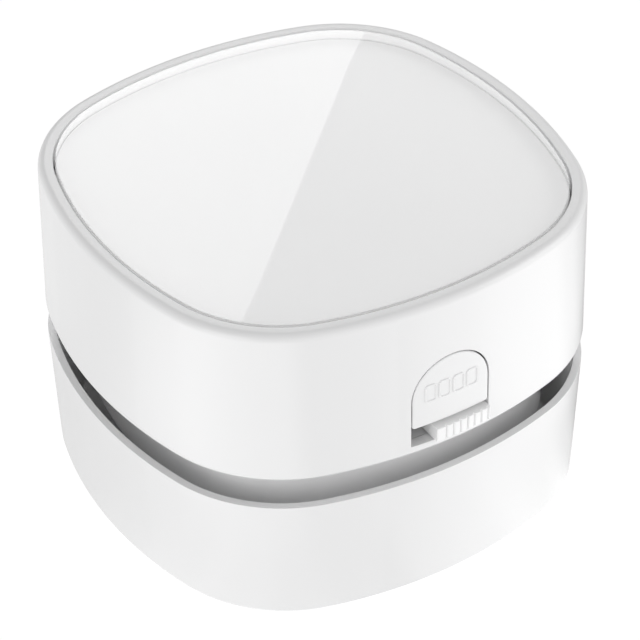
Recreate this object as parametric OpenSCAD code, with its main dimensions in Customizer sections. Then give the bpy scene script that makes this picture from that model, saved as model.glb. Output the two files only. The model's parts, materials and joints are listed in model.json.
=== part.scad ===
// Desktop mini vacuum cleaner: a rounded-square lower shell with the dust cup, and a lift-off
// upper unit with motor, fan, two AA cells, a release button and a slide switch.
// Origin: middle of the footprint on the desk. +Z is up and the button faces -Y.

/* [Outline] */
// Width across the flat sides, at the rim
body_w = 85.5; // [80:0.5:92]
// Distance of each corner arc's centre from the middle, along X and along Y
corner_ofs = 14.7; // [13.3:0.07:15.4]
// Height that the glide pads lift the shell off the desk
foot_h = 2; // [1.4:0.1:3]
// Height of the lower shell
base_h = 23.9; // [23.5:0.1:25]
// Height of the air gap between the two shells
air_gap = 5.4; // [5:0.1:7]
// Height of the upper shell
top_h = 29.2; // [28.4:0.1:32]

/* [Shells] */
// Wall of the lower shell at its rim
base_rim = 1.36; // [1.2:0.02:1.5]
// Wall of the lower shell above its floor
base_wall = 2.4; // [2:0.1:2.6]
// Inward lean of the lower shell from rim to foot
base_draft = 0.9; // [0.5:0.1:1.2]
// Thickness of the lower shell's floor
floor_t = 3; // [2.8:0.1:3.3]
// Wall of the upper shell
top_wall = 2; // [1.8:0.1:2.2]
// Inward lean of the upper shell from lip to roof
top_draft = 0.5; // [0.3:0.05:0.6]
// Radius of the upper shell's lower lip
lip_r = 1.2; // [0.8:0.1:1.4]
// Radius of the edge round the roof
edge_r = 1.4; // [1.2:0.1:1.6]
// Width of the flat rim round the top plate
rim_w = 1.2; // [1:0.1:1.4]

/* [Lid] */
// Gap between the lid and the rim round it
lid_gap = 0.3; // [0.25:0.05:0.4]
// Thickness of the clear top plate
plate_t = 2; // [1.6:0.1:2.2]
// Thickness of the white carrier under it
carrier_t = 1.5; // [1.2:0.1:1.6]
// Width of the ledge that carries the lid
ledge_w = 2.6; // [2:0.1:3]
// Thickness of that ledge
ledge_t = 1.6; // [1.2:0.1:2]

/* [Neck and deck] */
// How far the neck stands in from the outline
neck_inset = 6.7; // [6.4:0.1:6.9]
// Wall of the neck
neck_wall = 1.4; // [1.2:0.1:1.5]
// How far the neck hangs below the upper shell's lip
neck_drop = 15.4; // [14:0.1:16]
// Thickness of the motor deck
deck_t = 2; // [1.8:0.1:2.2]
// How far the deck sits up inside the upper shell
deck_rise = 0.8; // [0.6:0.1:1]

/* [Button and switch] */
// Radius of the arch-shaped button opening, half the slot's width
arch_r = 7.5; // [7:0.1:8]
// Height of the arch's centre above the lip
arch_up = 10.6; // [10:0.1:11]
// Height of the button's lower edge above the lip
button_up = 5; // [4.9:0.1:5.4]
// Height of the slot's floor above the lip
slot_up = 1.9; // [1.8:0.1:2]
// Gap between the button and its opening
button_gap = 0.25; // [0.2:0.05:0.3]
// Thickness of the button
button_t = 1.8; // [1.5:0.1:2]
// How far the button travels inwards
button_travel = 1.5; // [1:0.1:1.5]
// Width of the switch knob
knob_w = 10.6; // [10:0.1:11]
// How far the knob stands out of the wall
knob_out = 1; // [0.8:0.1:1.2]
// Clearance round the knob in its slot
knob_gap = 0.3; // [0.2:0.05:0.3]
// Number of grip grooves on the knob
groove_count = 7; // [5:1:8]
// Pitch of the grip grooves
groove_pitch = 1.38; // [1.2:0.02:1.4]

/* [Dust cup and filter] */
// Room between the neck and the dust cup, for the latch
latch_room = 5.3; // [5.2:0.1:5.6]
// Wall of the dust cup
cup_wall = 1.2; // [1:0.1:1.4]
// Height of the dust cup
cup_h = 18; // [17.6:0.1:18.2]
// Radius of the suction inlet
inlet_r = 8; // [7:0.5:8]
// Height of the inlet tube above the cup's floor
tube_h = 7.3; // [6:0.1:8]
// Wall of the inlet tube
tube_wall = 1.2; // [1:0.1:1.3]
// Thickness of the filter disc
filter_t = 1.2; // [1:0.1:1.4]

/* [Fan and motor] */
// Clearance between the impeller and the posts round it
fan_room = 1; // [0.6:0.1:3]
// Number of impeller blades
blade_count = 9; // [7:1:11]
// Height of the blades
blade_h = 3.9; // [3.4:0.1:4]
// Thickness of each blade
blade_t = 0.9; // [0.8:0.1:1.1]
// Radius of the motor can
motor_r = 12; // [11.5:0.1:12]
// Clearance between the motor's terminals and the lid
lid_room = 0.5; // [0.4:0.1:1.5]
// Radius of the motor shaft
shaft_r = 1; // [0.8:0.1:1.2]
// Running clearance of the shaft in its bushing
shaft_fit = 0.04; // [0.02:0.01:0.08]
// Radius of the air intake over the filter
eye_r = 8.5; // [8:0.1:9]

/* [Cells] */
// Radius of an AA cell
cell_r = 7.25; // [7:0.05:7.25]
// Length of an AA cell with its nub
cell_l = 50.5; // [49.5:0.1:50.5]
// Distance of each cell's axis from the middle
cell_x = 21.6; // [21.4:0.1:21.7]
// Space that each contact spring takes, pressed
spring_l = 4; // [3.6:0.1:4]

/* [Underside] */
// Radius of the brush plate
brush_plate_r = 26; // [25:0.5:27]
// Mean radius of the bristle ring
bristle_ring_r = 22; // [21.5:0.1:22.5]
// Rows of bristles
bristle_rows = 3; // [2:1:3]
// Bristles in each row of a quarter strip
bristles_per_row = 27; // [23:1:32]
// Radius of a glide pad
pad_r = 3.5; // [3:0.1:4]
// Distance of each glide pad from the middle, along X and along Y
pad_x = 24; // [23:0.5:25]

/* [Hidden] */
$fn = 64;
eps = 0.01;
gap = 0.3;                                   // between pieces that move apart
half_w = body_w / 2;
reach = 120;                                 // further out than any arc
cos_t = 0.96;                                // long side of the 7-24-25 triangle
sin_t = 0.28;                                // its short side
unit = round(corner_ofs / 7 * 1000) / 1000;
side_r = half_w + 17 * unit;                 // radius of the side arcs
corner_r = side_r - 25 * unit;               // radius of the corner arcs
corner_reach = 7 * unit * sqrt(2) + corner_r;

// heights, from the desk up
base_z = foot_h;
floor_z = base_z + floor_t;
rim_z = base_z + base_h;
lip_z = rim_z + air_gap;
roof_z = lip_z + top_h;
neck_z = lip_z - neck_drop;
deck_z = lip_z + deck_rise;
deck_top = deck_z + deck_t;
ledge_z = roof_z - plate_t - carrier_t;

// lid and ledge
ledge_inset = top_draft + edge_r + rim_w;
lid_inset = ledge_inset + lid_gap;
ledge_end = ledge_inset + ledge_w;

// neck
neck_inner = neck_inset + neck_wall;
deck_inset = top_wall + 0.25;
pocket_z = lip_z + slot_up - 0.2;            // floor of the switch pocket in the deck
pocket_x = arch_r + 0.5;
pocket_back = half_w - neck_inner - 1;

// screws: pan head, the same all over
screw_r = 0.9;
screw_l = 5;
head_r = 1.7;
head_h = 1.1;
screw_fit = 0.05;
boss_r = 2.2;
housing_reach = corner_reach - (neck_inset + deck_inset) / 2;
housing_boss_h = 5.4;
tray_leg_x = cell_x;
tray_leg_y = 14;

// fan chamber
cup_r = half_w - neck_inner - latch_room;
seal_w = 2;
fan_plate_r = cup_r + 0.1;
fan_post_reach = fan_plate_r - seal_w - 0.5 - head_r;
fan_r = fan_post_reach - boss_r - fan_room;
disc_t = 0.9;
fan_gap = 0.9;                               // deck to impeller
fan_top = deck_z - fan_gap;
blade_z = fan_top - disc_t - blade_h;
fan_plate_t = 1.3;
fan_plate_top = blade_z - 0.6;
fan_plate_z = fan_plate_top - fan_plate_t;
hub_r = 3.5;
blade_in = hub_r + 5;
blade_sweep = 55;

// underside
brush_plate_t = 1.8;
brush_groove = 0.6;
bristle_w = 3;
bristle_r = 0.3;
bristle_z = 0.2;
pad_sink = 0.8;

// dust cup
cup_z = floor_z;
cup_floor = 1.2;
cup_top = cup_z + cup_h;
cup_in = cup_r - cup_wall;
tube_top = cup_z + cup_floor + tube_h;
tube_root = base_z + brush_plate_t;
seal_z = cup_top + gap;
shelf_w = 1.2;
shelf_z = cup_top - 5.4;
shelf_t = 0.8;
cup_boss_reach = 14;
cup_boss_h = 3;
cup_boss_angles = [90:120:330];

// latch: the arm hangs through the deck, and its nose stops short of the keeper's bar
keeper_front = half_w - neck_inner - 0.6;
keeper_t = 0.8;
nose_y = keeper_front - keeper_t - gap;
arm_t = 0.9;
arm_y = nose_y - 0.7;                        // front face of the arm
arm_x = 3.5;
keeper_x = arm_x + 0.7;
keeper_wall = 1.4;
keeper_top = neck_z + 5.6;
keeper_bar_h = 2.4;
nose_z = neck_z + 1;
nose_h = 1.8;
arm_shelf_z = lip_z + button_up + 2.8;
arm_shelf_t = 2;

// filter
filter_r = cup_in - gap;
filter_z = shelf_z + shelf_t;
frame_w = 1.6;
frame_h = 3.2;
spoke_t = 1.2;
tab_x = 4;
tab_t = 1.2;
tab_hole_r = 4.4;
filter_in_r = filter_r - frame_w;

// motor
motor_z = deck_top;
cap_t = 1.6;
terminal_h = 1.3;
motor_l = ledge_z - lid_room - terminal_h - cap_t - motor_z;
motor_boss_r = 3;
motor_boss_z = deck_z + 0.2;
bushing_r = 2;
bushing_l = 2.7;
motor_top = motor_z + motor_l;
terminal_x = 5;
terminal_y = -7;
motor_screw_x = 8;
collar_h = 5;

// cells and tray
cell_z = ledge_z - 0.8 - cell_r;
tray_t = 1.4;
tray_z = cell_z - cell_r - 0.1 - tray_t;
spring_z = tray_z + 4.3;                     // the button's spring clears the tray's floor
arm_top = spring_z + 2.8;
tray_wall = 1.3;
contact_t = 0.4;
bay_l = cell_l + spring_l + 2 * contact_t;
bay_x = cell_r + 0.35;
tray_x = cell_x + bay_x + tray_wall;
tray_y = bay_l / 2 + tray_wall;
tray_side_h = 9.8;
tray_end_h = 12.8;
tie_y = tray_y - 4.4;                        // walls that tie the two troughs
contact_x = 5;
contact_h = 8;
tab_w = 2.4;
tab_z = cell_z - 2;
tab_l = 1.6;
bridge_h = 2;

// switch
knob_z = lip_z + slot_up + 0.2;
knob_h = button_up - slot_up - 0.5;
knob_rest = arch_r - knob_gap - knob_w / 2;  // centre of the knob at rest
knob_travel = 2 * knob_rest;
knob_in = 4.1;
switch_front = half_w - 4.5;
switch_d = 3.4;
switch_w = 11;
switch_h = 3.1;
stem_w = 1.6;
stem_h = 1.2;
stem_z = knob_z + 0.7;
stem_in = 1.1;                               // how far the stem goes into the knob
stem_l = 3;
pin_x = 4.5;
pin_w = 0.8;
pin_l = 1;
pin_z = stem_z + 0.9;

lead_r = 0.6;

// Points of a circular arc in a section profile, from angle a0 to angle a1
function arc(x, z, r, a0, a1, n = 5) =
    [for (i = [0:n]) let (a = a0 + (a1 - a0) * i / n) [x + r * cos(a), z + r * sin(a)]];

// How far the upper shell's outer wall stands in at height z
function top_lean(z) = top_draft * (z - lip_z) / top_h;

// ---------- rounded-square outline ----------
// Eight arcs that meet smoothly. Their centres lie on a 7-24-25 triangle, so that neighbours
// share their end faces exactly. In a profile, x is the distance outwards from the outline.

module side_arc(profile) {
    translate([-17 * unit, 0, 0])
        intersection() {
            rotate([0, 0, -90])
                rotate_extrude(angle = 180, $fn = 200)
                    translate([side_r, 0])
                        polygon(profile);
            translate([0, 0, -reach])
                linear_extrude(2 * reach)
                    polygon([[0, 0], [cos_t * reach, -sin_t * reach], [cos_t * reach, sin_t * reach]]);
        }
}

module corner_arc(profile) {
    translate([7 * unit, 7 * unit, 0])
        intersection() {
            rotate_extrude(angle = 90, $fn = 100)
                translate([corner_r, 0])
                    polygon(profile);
            translate([0, 0, -reach])
                linear_extrude(2 * reach)
                    polygon([[0, 0], [cos_t * reach, sin_t * reach], [reach, reach],
                             [sin_t * reach, cos_t * reach]]);
        }
}

module ring(profile) {
    for (a = [0:90:270])
        rotate([0, 0, a]) {
            side_arc(profile);
            corner_arc(profile);
        }
}

// Section of the ring in the middle of the front wall
module front_arc(profile) {
    rotate([0, 0, -90])
        side_arc(profile);
}

// Solid disc of the rounded-square outline, set in from it, with a bevel round its top
module slab(inset, z0, z1, bevel = 0) {
    overlap = corner_reach - half_w + 2;
    ring([[-inset - overlap, z0], [-inset, z0], [-inset, z1 - bevel],
          if (bevel > 0) [-inset - bevel, z1], [-inset - overlap, z1]]);
    translate([0, 0, z0])
        cylinder(r = half_w - inset - 1, h = z1 - z0);
}

// Places on a circle, without turning what is placed
module around(radius, angles) {
    for (a = angles)
        translate([radius * cos(a), radius * sin(a), 0])
            children();
}

module at_corners(distance) {
    around(distance, [45:90:315])
        children();
}

module mirrored(x, y) {
    for (i = [-1, 1], j = [-1, 1])
        translate([i * x, j * y, 0])
            children();
}

// Upright bar from radius r0 to radius r1 at an angle, standing on z = 0
module bar(angle, r0, r1, width, height) {
    along = [cos(angle), sin(angle)];
    side = [-sin(angle), cos(angle)] * width / 2;
    linear_extrude(height)
        polygon([r0 * along - side, r1 * along - side, r1 * along + side, r0 * along + side]);
}

// Pan-head screw whose head's underside is at z = 0, with the shank upwards
module screw() {
    difference() {
        union() {
            cylinder(r = screw_r, h = screw_l);
            translate([0, 0, -head_h])
                cylinder(r1 = head_r - 0.3, r2 = head_r, h = 0.4);
            translate([0, 0, 0.4 - head_h])
                cylinder(r = head_r, h = head_h - 0.4);
        }
        for (a = [0, 90])
            rotate([0, 0, a])
                translate([-1.1, -0.25, -head_h - eps])
                    cube([2.2, 0.5, 0.6]);
    }
}

// Clearance hole and head recess for a screw placed the same way
module screw_hole(depth, head_depth = 0) {
    translate([0, 0, -1])
        cylinder(r = screw_r + 0.2, h = depth + 1);
    if (head_depth > 0)
        translate([0, 0, -head_depth])
            cylinder(r = head_r + 0.1, h = head_depth);
}

module pilot(depth) {
    cylinder(r = screw_r + screw_fit, h = depth);
}

// ---------- swept tubes: springs and leads ----------

function unit_of(v) = v / norm(v);

// Smooth curve through chosen points
function curve_point(p, i, t) =
    let (a = p[max(i - 1, 0)], b = p[i], c = p[i + 1], d = p[min(i + 2, len(p) - 1)])
    0.5 * (2 * b + (c - a) * t + (2 * a - 5 * b + 4 * c - d) * t * t
           + (3 * b - a - 3 * c + d) * t * t * t);
function smooth(p, n) =
    concat([for (i = [0:len(p) - 2], k = [0:n - 1]) curve_point(p, i, k / n)], [p[len(p) - 1]]);

function tangent(p, i) = unit_of(p[min(i + 1, len(p) - 1)] - p[max(i - 1, 0)]);

// Carries the ring's first direction along the path without twist
function normals(p, i, n, out) =
    i >= len(p) ? out :
    let (t = tangent(p, i), m = unit_of(n - (n * t) * t))
    normals(p, i + 1, m, concat(out, [m]));

module tube(path, r, sides, start) {
    n = normals(path, 0, start, []);
    last = len(path) - 1;
    points = [for (i = [0:last], k = [0:sides - 1])
        let (b = cross(tangent(path, i), n[i]), a = 360 * k / sides)
        path[i] + r * (cos(a) * n[i] + sin(a) * b)];
    walls = [for (i = [0:last - 1], k = [0:sides - 1])
        let (j = (k + 1) % sides)
        for (f = [[i * sides + k, (i + 1) * sides + k, (i + 1) * sides + j],
                  [i * sides + k, (i + 1) * sides + j, i * sides + j]]) f];
    ends = [for (k = [1:sides - 2])
        for (f = [[0, k, k + 1], [last * sides, last * sides + k + 1, last * sides + k]]) f];
    polyhedron(points, concat(walls, ends));
}

// Coil along +Y from y = 0 to y = l: its ends run straight for one wire thickness
function coil(l, r0, r1, turns, wire, steps = 8) =
    let (n = turns * steps, run = l - 2 * wire)
    concat([[r0, 0, 0]],
           [for (i = [0:n]) let (a = 360 * i / steps, r = r0 + (r1 - r0) * i / n)
               [r * cos(a), wire + run * i / n, r * sin(a)]],
           [[r1 * cos(360 * turns), l, r1 * sin(360 * turns)]]);

// Least gap between neighbouring turns of a coil
function coil_gap(p, wire, steps = 8) =
    min([for (i = [1:len(p) - steps - 2]) norm(p[i + steps] - p[i])]) - wire;

// ---------- lower unit ----------

module base_shell() {
    color("white")
    difference() {
        union() {
            ring(concat(
                [[-base_draft - 10, base_z]],
                arc(-base_draft - 0.8, base_z + 0.8, 0.8, -90, 0, 3),
                [[0, rim_z], [-base_rim, rim_z], [-base_rim - 0.2, rim_z - 0.8],
                 [-base_draft - base_wall, floor_z + 1],
                 [-base_draft - base_wall - 1, floor_z], [-base_draft - 10, floor_z]]));
            translate([0, 0, base_z])
                cylinder(r = half_w - base_draft - 5, h = floor_t);
            // collar that centres the dust cup
            translate([0, 0, floor_z - eps])
                difference() {
                    cylinder(r = cup_r + 1.4, h = 3);
                    translate([0, 0, -1])
                        cylinder(r = cup_r + 0.2, h = 5);
                }
        }
        // recess of the brush plate, and the inlet's hole
        translate([0, 0, base_z - 1])
            cylinder(r = brush_plate_r + 0.2, h = brush_plate_t + 1);
        translate([0, 0, base_z - 1])
            cylinder(r = inlet_r + tube_wall + 0.2, h = floor_t + 2);
        around(cup_boss_reach, cup_boss_angles)
            translate([0, 0, base_z])
                cylinder(r = screw_r + 0.2, h = floor_t + 1);
        mirrored(pad_x, pad_x)
            translate([0, 0, base_z - 1])
                cylinder(r = pad_r + 0.1, h = pad_sink + 1);
    }
}

module dust_cup() {
    color("whitesmoke")
    difference() {
        union() {
            // wall, floor and the shelf that carries the filter
            rotate_extrude()
                polygon([[inlet_r + 0.5, cup_z], [cup_r, cup_z], [cup_r, cup_top], [cup_in, cup_top],
                         [cup_in, shelf_z + shelf_t], [cup_in - shelf_w, shelf_z + shelf_t],
                         [cup_in - shelf_w, shelf_z], [cup_in, shelf_z - shelf_w],
                         [cup_in, cup_z + cup_floor + 1], [cup_in - 1, cup_z + cup_floor],
                         [inlet_r + 0.5, cup_z + cup_floor]]);
            // inlet tube, narrower at its top so that crumbs stay in
            rotate_extrude()
                polygon([[inlet_r, tube_root], [inlet_r + tube_wall, tube_root],
                         [inlet_r + tube_wall, cup_z + cup_floor + 2],
                         [inlet_r + tube_wall - 1.2, tube_top], [inlet_r - 1.2, tube_top],
                         [inlet_r, cup_z + cup_floor + 2]]);
            around(cup_boss_reach, cup_boss_angles)
                translate([0, 0, cup_z])
                    cylinder(r = boss_r, h = cup_floor + cup_boss_h);
            keeper();
        }
        around(cup_boss_reach, cup_boss_angles)
            translate([0, 0, cup_z - 1])
                pilot(cup_floor + cup_boss_h + 0.4);
    }
}

// Loop on the front of the cup that the latch hooks under
module keeper() {
    depth = keeper_front - cup_r + 1;
    for (s = [-1, 1])
        translate([s * (keeper_x + keeper_wall / 2) - keeper_wall / 2, -keeper_front,
                   keeper_top - keeper_bar_h - 2])
            cube([keeper_wall, depth, keeper_bar_h + 2]);
    translate([-keeper_x - keeper_wall, -keeper_front, keeper_top - keeper_bar_h])
        cube([2 * (keeper_x + keeper_wall), keeper_t, keeper_bar_h]);
}

module brush_plate() {
    color("gainsboro")
    difference() {
        rotate_extrude()
            polygon([[inlet_r + 1, base_z], [brush_plate_r - 0.4, base_z],
                     [brush_plate_r, base_z + 0.4], [brush_plate_r, base_z + brush_plate_t],
                     [inlet_r, base_z + brush_plate_t], [inlet_r, base_z + 0.9]]);
        translate([0, 0, base_z - eps])
            difference() {
                cylinder(r = bristle_ring_r + bristle_w / 2 + 0.1, h = brush_groove + eps);
                translate([0, 0, -1])
                    cylinder(r = bristle_ring_r - bristle_w / 2 - 0.1, h = brush_groove + 2);
            }
        around(cup_boss_reach, cup_boss_angles)
            translate([0, 0, base_z + head_h])
                screw_hole(brush_plate_t, head_h + 1);
    }
}

// Quarter strip: a slice of backing with upright three-sided strands in rows, each row shifted
// half a step
module bristle_strip() {
    row_gap = bristle_w / (bristle_rows + 1);
    step = 90 / (bristles_per_row + 1);
    color("dimgray")
    union() {
        translate([0, 0, base_z])
            intersection() {
                difference() {
                    cylinder(r = bristle_ring_r + bristle_w / 2, h = brush_groove);
                    translate([0, 0, -1])
                        cylinder(r = bristle_ring_r - bristle_w / 2, h = brush_groove + 2);
                }
                translate([gap, gap, -1])
                    cube([reach, reach, brush_groove + 2]);
            }
        translate([0, 0, bristle_z])
            linear_extrude(base_z - bristle_z + 0.2)
                for (row = [0:bristle_rows - 1], i = [0:bristles_per_row - 1])
                    rotate([0, 0, (i + 0.75 + 0.5 * (row % 2)) * step])
                        translate([bristle_ring_r + (row - (bristle_rows - 1) / 2) * row_gap, 0])
                            circle(r = bristle_r, $fn = 3);
    }
}

module bristle_strip_1() {
    bristle_strip();
}

module bristle_strip_2() {
    rotate([0, 0, 90])
        bristle_strip();
}

module bristle_strip_3() {
    rotate([0, 0, 180])
        bristle_strip();
}

module bristle_strip_4() {
    rotate([0, 0, 270])
        bristle_strip();
}

module glide_pads() {
    color("silver")
    mirrored(pad_x, pad_x)
        rotate_extrude()
            polygon([[0, 0], [pad_r - 0.4, 0], [pad_r, 0.4], [pad_r, foot_h + pad_sink],
                     [0, foot_h + pad_sink]]);
}

module brush_plate_screws() {
    color("silver")
    around(cup_boss_reach, cup_boss_angles)
        translate([0, 0, base_z + head_h])
            screw();
}

// ---------- filter ----------

module filter_frame() {
    color("lightgray")
    union() {
        translate([0, 0, filter_z])
            difference() {
                cylinder(r = filter_r, h = frame_h);
                translate([0, 0, -1])
                    cylinder(r = filter_in_r, h = frame_h + 2);
            }
        for (a = [0:60:120])
            translate([0, 0, filter_z])
                bar(a, -filter_in_r - 0.5, filter_in_r + 0.5, spoke_t, spoke_t);
        translate([0, 0, filter_z])
            cylinder(r = tab_hole_r - 0.4, h = spoke_t);
        translate([-tab_x, -tab_t / 2, filter_z])
            cube([2 * tab_x, tab_t, seal_z - filter_z + 0.2]);
    }
}

module filter_pad() {
    color("lightsteelblue")
    translate([0, 0, filter_z + spoke_t])
        difference() {
            cylinder(r = filter_in_r - 0.1, h = filter_t);
            translate([0, 0, -1])
                cylinder(r = tab_hole_r, h = filter_t + 2);
        }
}

// ---------- upper shell, deck and neck ----------

// Arch over slot, as one opening in the front wall. shrink leaves a gap round what fills it
module front_opening(z0, shrink) {
    translate([0, -half_w - 10, 0])
        rotate([-90, 0, 0])
            linear_extrude(18)
                union() {
                    translate([0, -lip_z - arch_up])
                        circle(r = arch_r - shrink);
                    translate([-arch_r + shrink, -lip_z - arch_up])
                        square([2 * (arch_r - shrink), lip_z + arch_up - z0 - shrink]);
                }
}

module top_shell() {
    slant = top_wall + top_draft;
    color("white")
    difference() {
        union() {
            ring(concat(
                [[-top_wall, lip_z]],
                arc(-lip_r, lip_z + lip_r, lip_r, -90, 0),
                arc(-top_draft - edge_r, roof_z - edge_r, edge_r, 0, 90, 6),
                [[-ledge_inset, roof_z], [-ledge_inset, ledge_z], [-ledge_end, ledge_z],
                 [-ledge_end, ledge_z - ledge_t],
                 [-slant, ledge_z - ledge_t - (ledge_end - slant)]]));
            // screw bosses, each tied to the wall by a web
            at_corners(housing_reach)
                translate([0, 0, deck_top])
                    cylinder(r = boss_r, h = housing_boss_h);
            for (a = [45:90:315])
                translate([0, 0, deck_top])
                    bar(a, housing_reach, corner_reach - top_wall + 0.5, 1.6, housing_boss_h);
        }
        front_opening(lip_z + slot_up, 0);
        at_corners(housing_reach)
            translate([0, 0, deck_top - eps])
                pilot(housing_boss_h - 1);
    }
}

module motor_deck() {
    color("white")
    difference() {
        union() {
            slab(deck_inset, deck_z, deck_top);
            ring([[-neck_inner, deck_z + eps], [-neck_inner, neck_z + 0.4], [-neck_inner + 0.4, neck_z],
                  [-neck_inset - 0.4, neck_z], [-neck_inset, neck_z + 0.4], [-neck_inset, deck_z + eps]]);
            // collar round the motor's foot
            translate([0, 0, deck_top - eps])
                cylinder(r = motor_r + 1.3, h = collar_h);
            // posts of the fan plate
            at_corners(fan_post_reach)
                translate([0, 0, fan_plate_top])
                    cylinder(r = boss_r, h = deck_z - fan_plate_top + eps);
        }
        translate([0, 0, deck_top])
            cylinder(r = motor_r + 0.1, h = collar_h + 1);
        translate([0, 0, deck_z - 1])
            cylinder(r = motor_boss_r + 0.1, h = deck_t + 2);
        for (s = [-1, 1])
            translate([s * motor_screw_x, 0, deck_z - eps]) {
                cylinder(r = screw_r + 0.2, h = deck_t + 1);
                cylinder(r1 = head_r, r2 = screw_r + 0.2, h = head_h);
            }
        at_corners(fan_post_reach)
            translate([0, 0, fan_plate_top - eps])
                pilot(screw_l);
        at_corners(housing_reach)
            translate([0, 0, deck_z + head_h])
                screw_hole(deck_t, head_h + 1);
        mirrored(tray_leg_x, tray_leg_y)
            translate([0, 0, deck_z])
                screw_hole(deck_t + 1);
        // way through for the latch arm, and the pocket of the slide switch
        translate([-arm_x - 0.5, -arm_y - 0.5, deck_z - 1])
            cube([2 * arm_x + 1, arm_t + button_travel + 1, deck_t + 2]);
        translate([-pocket_x, -half_w, pocket_z])
            cube([2 * pocket_x, half_w - pocket_back, deck_t]);
    }
}

module fan_plate() {
    color("whitesmoke")
    difference() {
        union() {
            translate([0, 0, fan_plate_z])
                difference() {
                    cylinder(r = fan_plate_r, h = fan_plate_t);
                    translate([0, 0, -1])
                        cylinder(r = eye_r, h = fan_plate_t + 2);
                }
            // guard bars across the eye
            for (a = [0:60:120])
                translate([0, 0, fan_plate_z])
                    bar(a, -eye_r - 0.5, eye_r + 0.5, 1, fan_plate_t);
            translate([0, 0, fan_plate_z])
                cylinder(r = 2.4, h = fan_plate_t);
        }
        at_corners(fan_post_reach)
            translate([0, 0, fan_plate_z])
                screw_hole(fan_plate_t + 1);
    }
}

module fan_seal() {
    color("dimgray")
    rotate_extrude()
        polygon([[fan_plate_r - seal_w, fan_plate_z], [fan_plate_r, fan_plate_z],
                 [fan_plate_r, seal_z + 0.5], [cup_r - 0.1, seal_z], [cup_in, seal_z],
                 [fan_plate_r - seal_w, seal_z + 0.5]]);
}

module fan_plate_screws() {
    color("silver")
    at_corners(fan_post_reach)
        translate([0, 0, fan_plate_z])
            screw();
}

module housing_screws() {
    color("silver")
    at_corners(housing_reach)
        translate([0, 0, deck_z + head_h])
            screw();
}

module tray_screws() {
    color("silver")
    mirrored(tray_leg_x, tray_leg_y)
        translate([0, 0, deck_z])
            screw();
}

module motor_screws() {
    color("silver")
    for (s = [-1, 1])
        translate([s * motor_screw_x, 0, deck_z])
            difference() {
                union() {
                    cylinder(r1 = head_r - 0.1, r2 = screw_r, h = head_h - 0.1);
                    cylinder(r = screw_r, h = screw_l);
                }
                for (a = [0, 90])
                    rotate([0, 0, a])
                        translate([-1, -0.2, -eps])
                            cube([2, 0.4, 0.5]);
            }
}

// ---------- motor and impeller ----------

module motor_can() {
    color("silver")
    difference() {
        union() {
            rotate_extrude()
                polygon(concat([[0, motor_z]], arc(motor_r - 1, motor_z + 1, 1, -90, 0, 3),
                               [[motor_r, motor_top], [0, motor_top]]));
            translate([0, 0, motor_boss_z])
                cylinder(r = motor_boss_r, h = motor_z - motor_boss_z + eps);
        }
        translate([0, 0, motor_boss_z - 1])
            cylinder(r = shaft_r + 0.4, h = motor_l - 2);
        translate([0, 0, motor_boss_z - 1])
            cylinder(r = bushing_r, h = bushing_l + 1);
        for (s = [-1, 1])
            translate([s * motor_screw_x, 0, motor_z - eps])
                pilot(screw_l - 1);
        // vents in the can's side
        for (s = [-1, 1])
            translate([-2.5, s * motor_r - 1, motor_top - 7.5])
                cube([5, 2, 3]);
    }
}

module motor_bushing() {
    color("goldenrod")
    translate([0, 0, motor_boss_z])
        difference() {
            cylinder(r = bushing_r, h = bushing_l);
            translate([0, 0, -1])
                cylinder(r = shaft_r + shaft_fit, h = bushing_l + 2);
        }
}

module motor_end_cap() {
    color("dimgray")
    translate([0, 0, motor_top])
        difference() {
            union() {
                cylinder(r = motor_r - 0.4, h = cap_t - 0.6);
                cylinder(r = motor_r - 1.4, h = cap_t);
            }
            for (s = [-1, 1])
                translate([s * terminal_x - 1.3, terminal_y - 0.4, cap_t - 1])
                    cube([2.6, 0.8, 2]);
        }
}

module motor_terminals() {
    color("goldenrod")
    for (s = [-1, 1])
        translate([s * terminal_x - 1.2, terminal_y - 0.25, motor_top + cap_t - 1])
            cube([2.4, 0.5, 1 + terminal_h]);
}

module motor_shaft() {
    color("silver")
    translate([0, 0, blade_z + 0.4])
        cylinder(r = shaft_r, h = motor_boss_z + motor_l - 4 - blade_z - 0.4);
}

// One backward-curved blade: a strip between two arcs of a spiral
module blade() {
    steps = 8;
    function at(i, side) =
        let (s = i / steps, r = blade_in + (fan_r - 0.6 - blade_in) * s, a = -blade_sweep * s,
             half = side * blade_t / 2)
        [r * cos(a) + half * cos(a + 45), r * sin(a) + half * sin(a + 45)];
    linear_extrude(blade_h + 0.2)
        polygon(concat([for (i = [0:steps]) at(i, 1)], [for (i = [steps:-1:0]) at(i, -1)]));
}

module impeller() {
    color("white")
    difference() {
        union() {
            translate([0, 0, fan_top - disc_t])
                cylinder(r = fan_r, h = disc_t);
            translate([0, 0, blade_z])
                cylinder(r = hub_r, h = fan_top - blade_z);
            for (i = [0:blade_count - 1])
                rotate([0, 0, 360 * i / blade_count])
                    translate([0, 0, blade_z])
                        blade();
        }
        translate([0, 0, blade_z - 1])
            cylinder(r = shaft_r, h = fan_top - blade_z + 2);
    }
}

// ---------- cells, tray and contacts ----------

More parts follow.
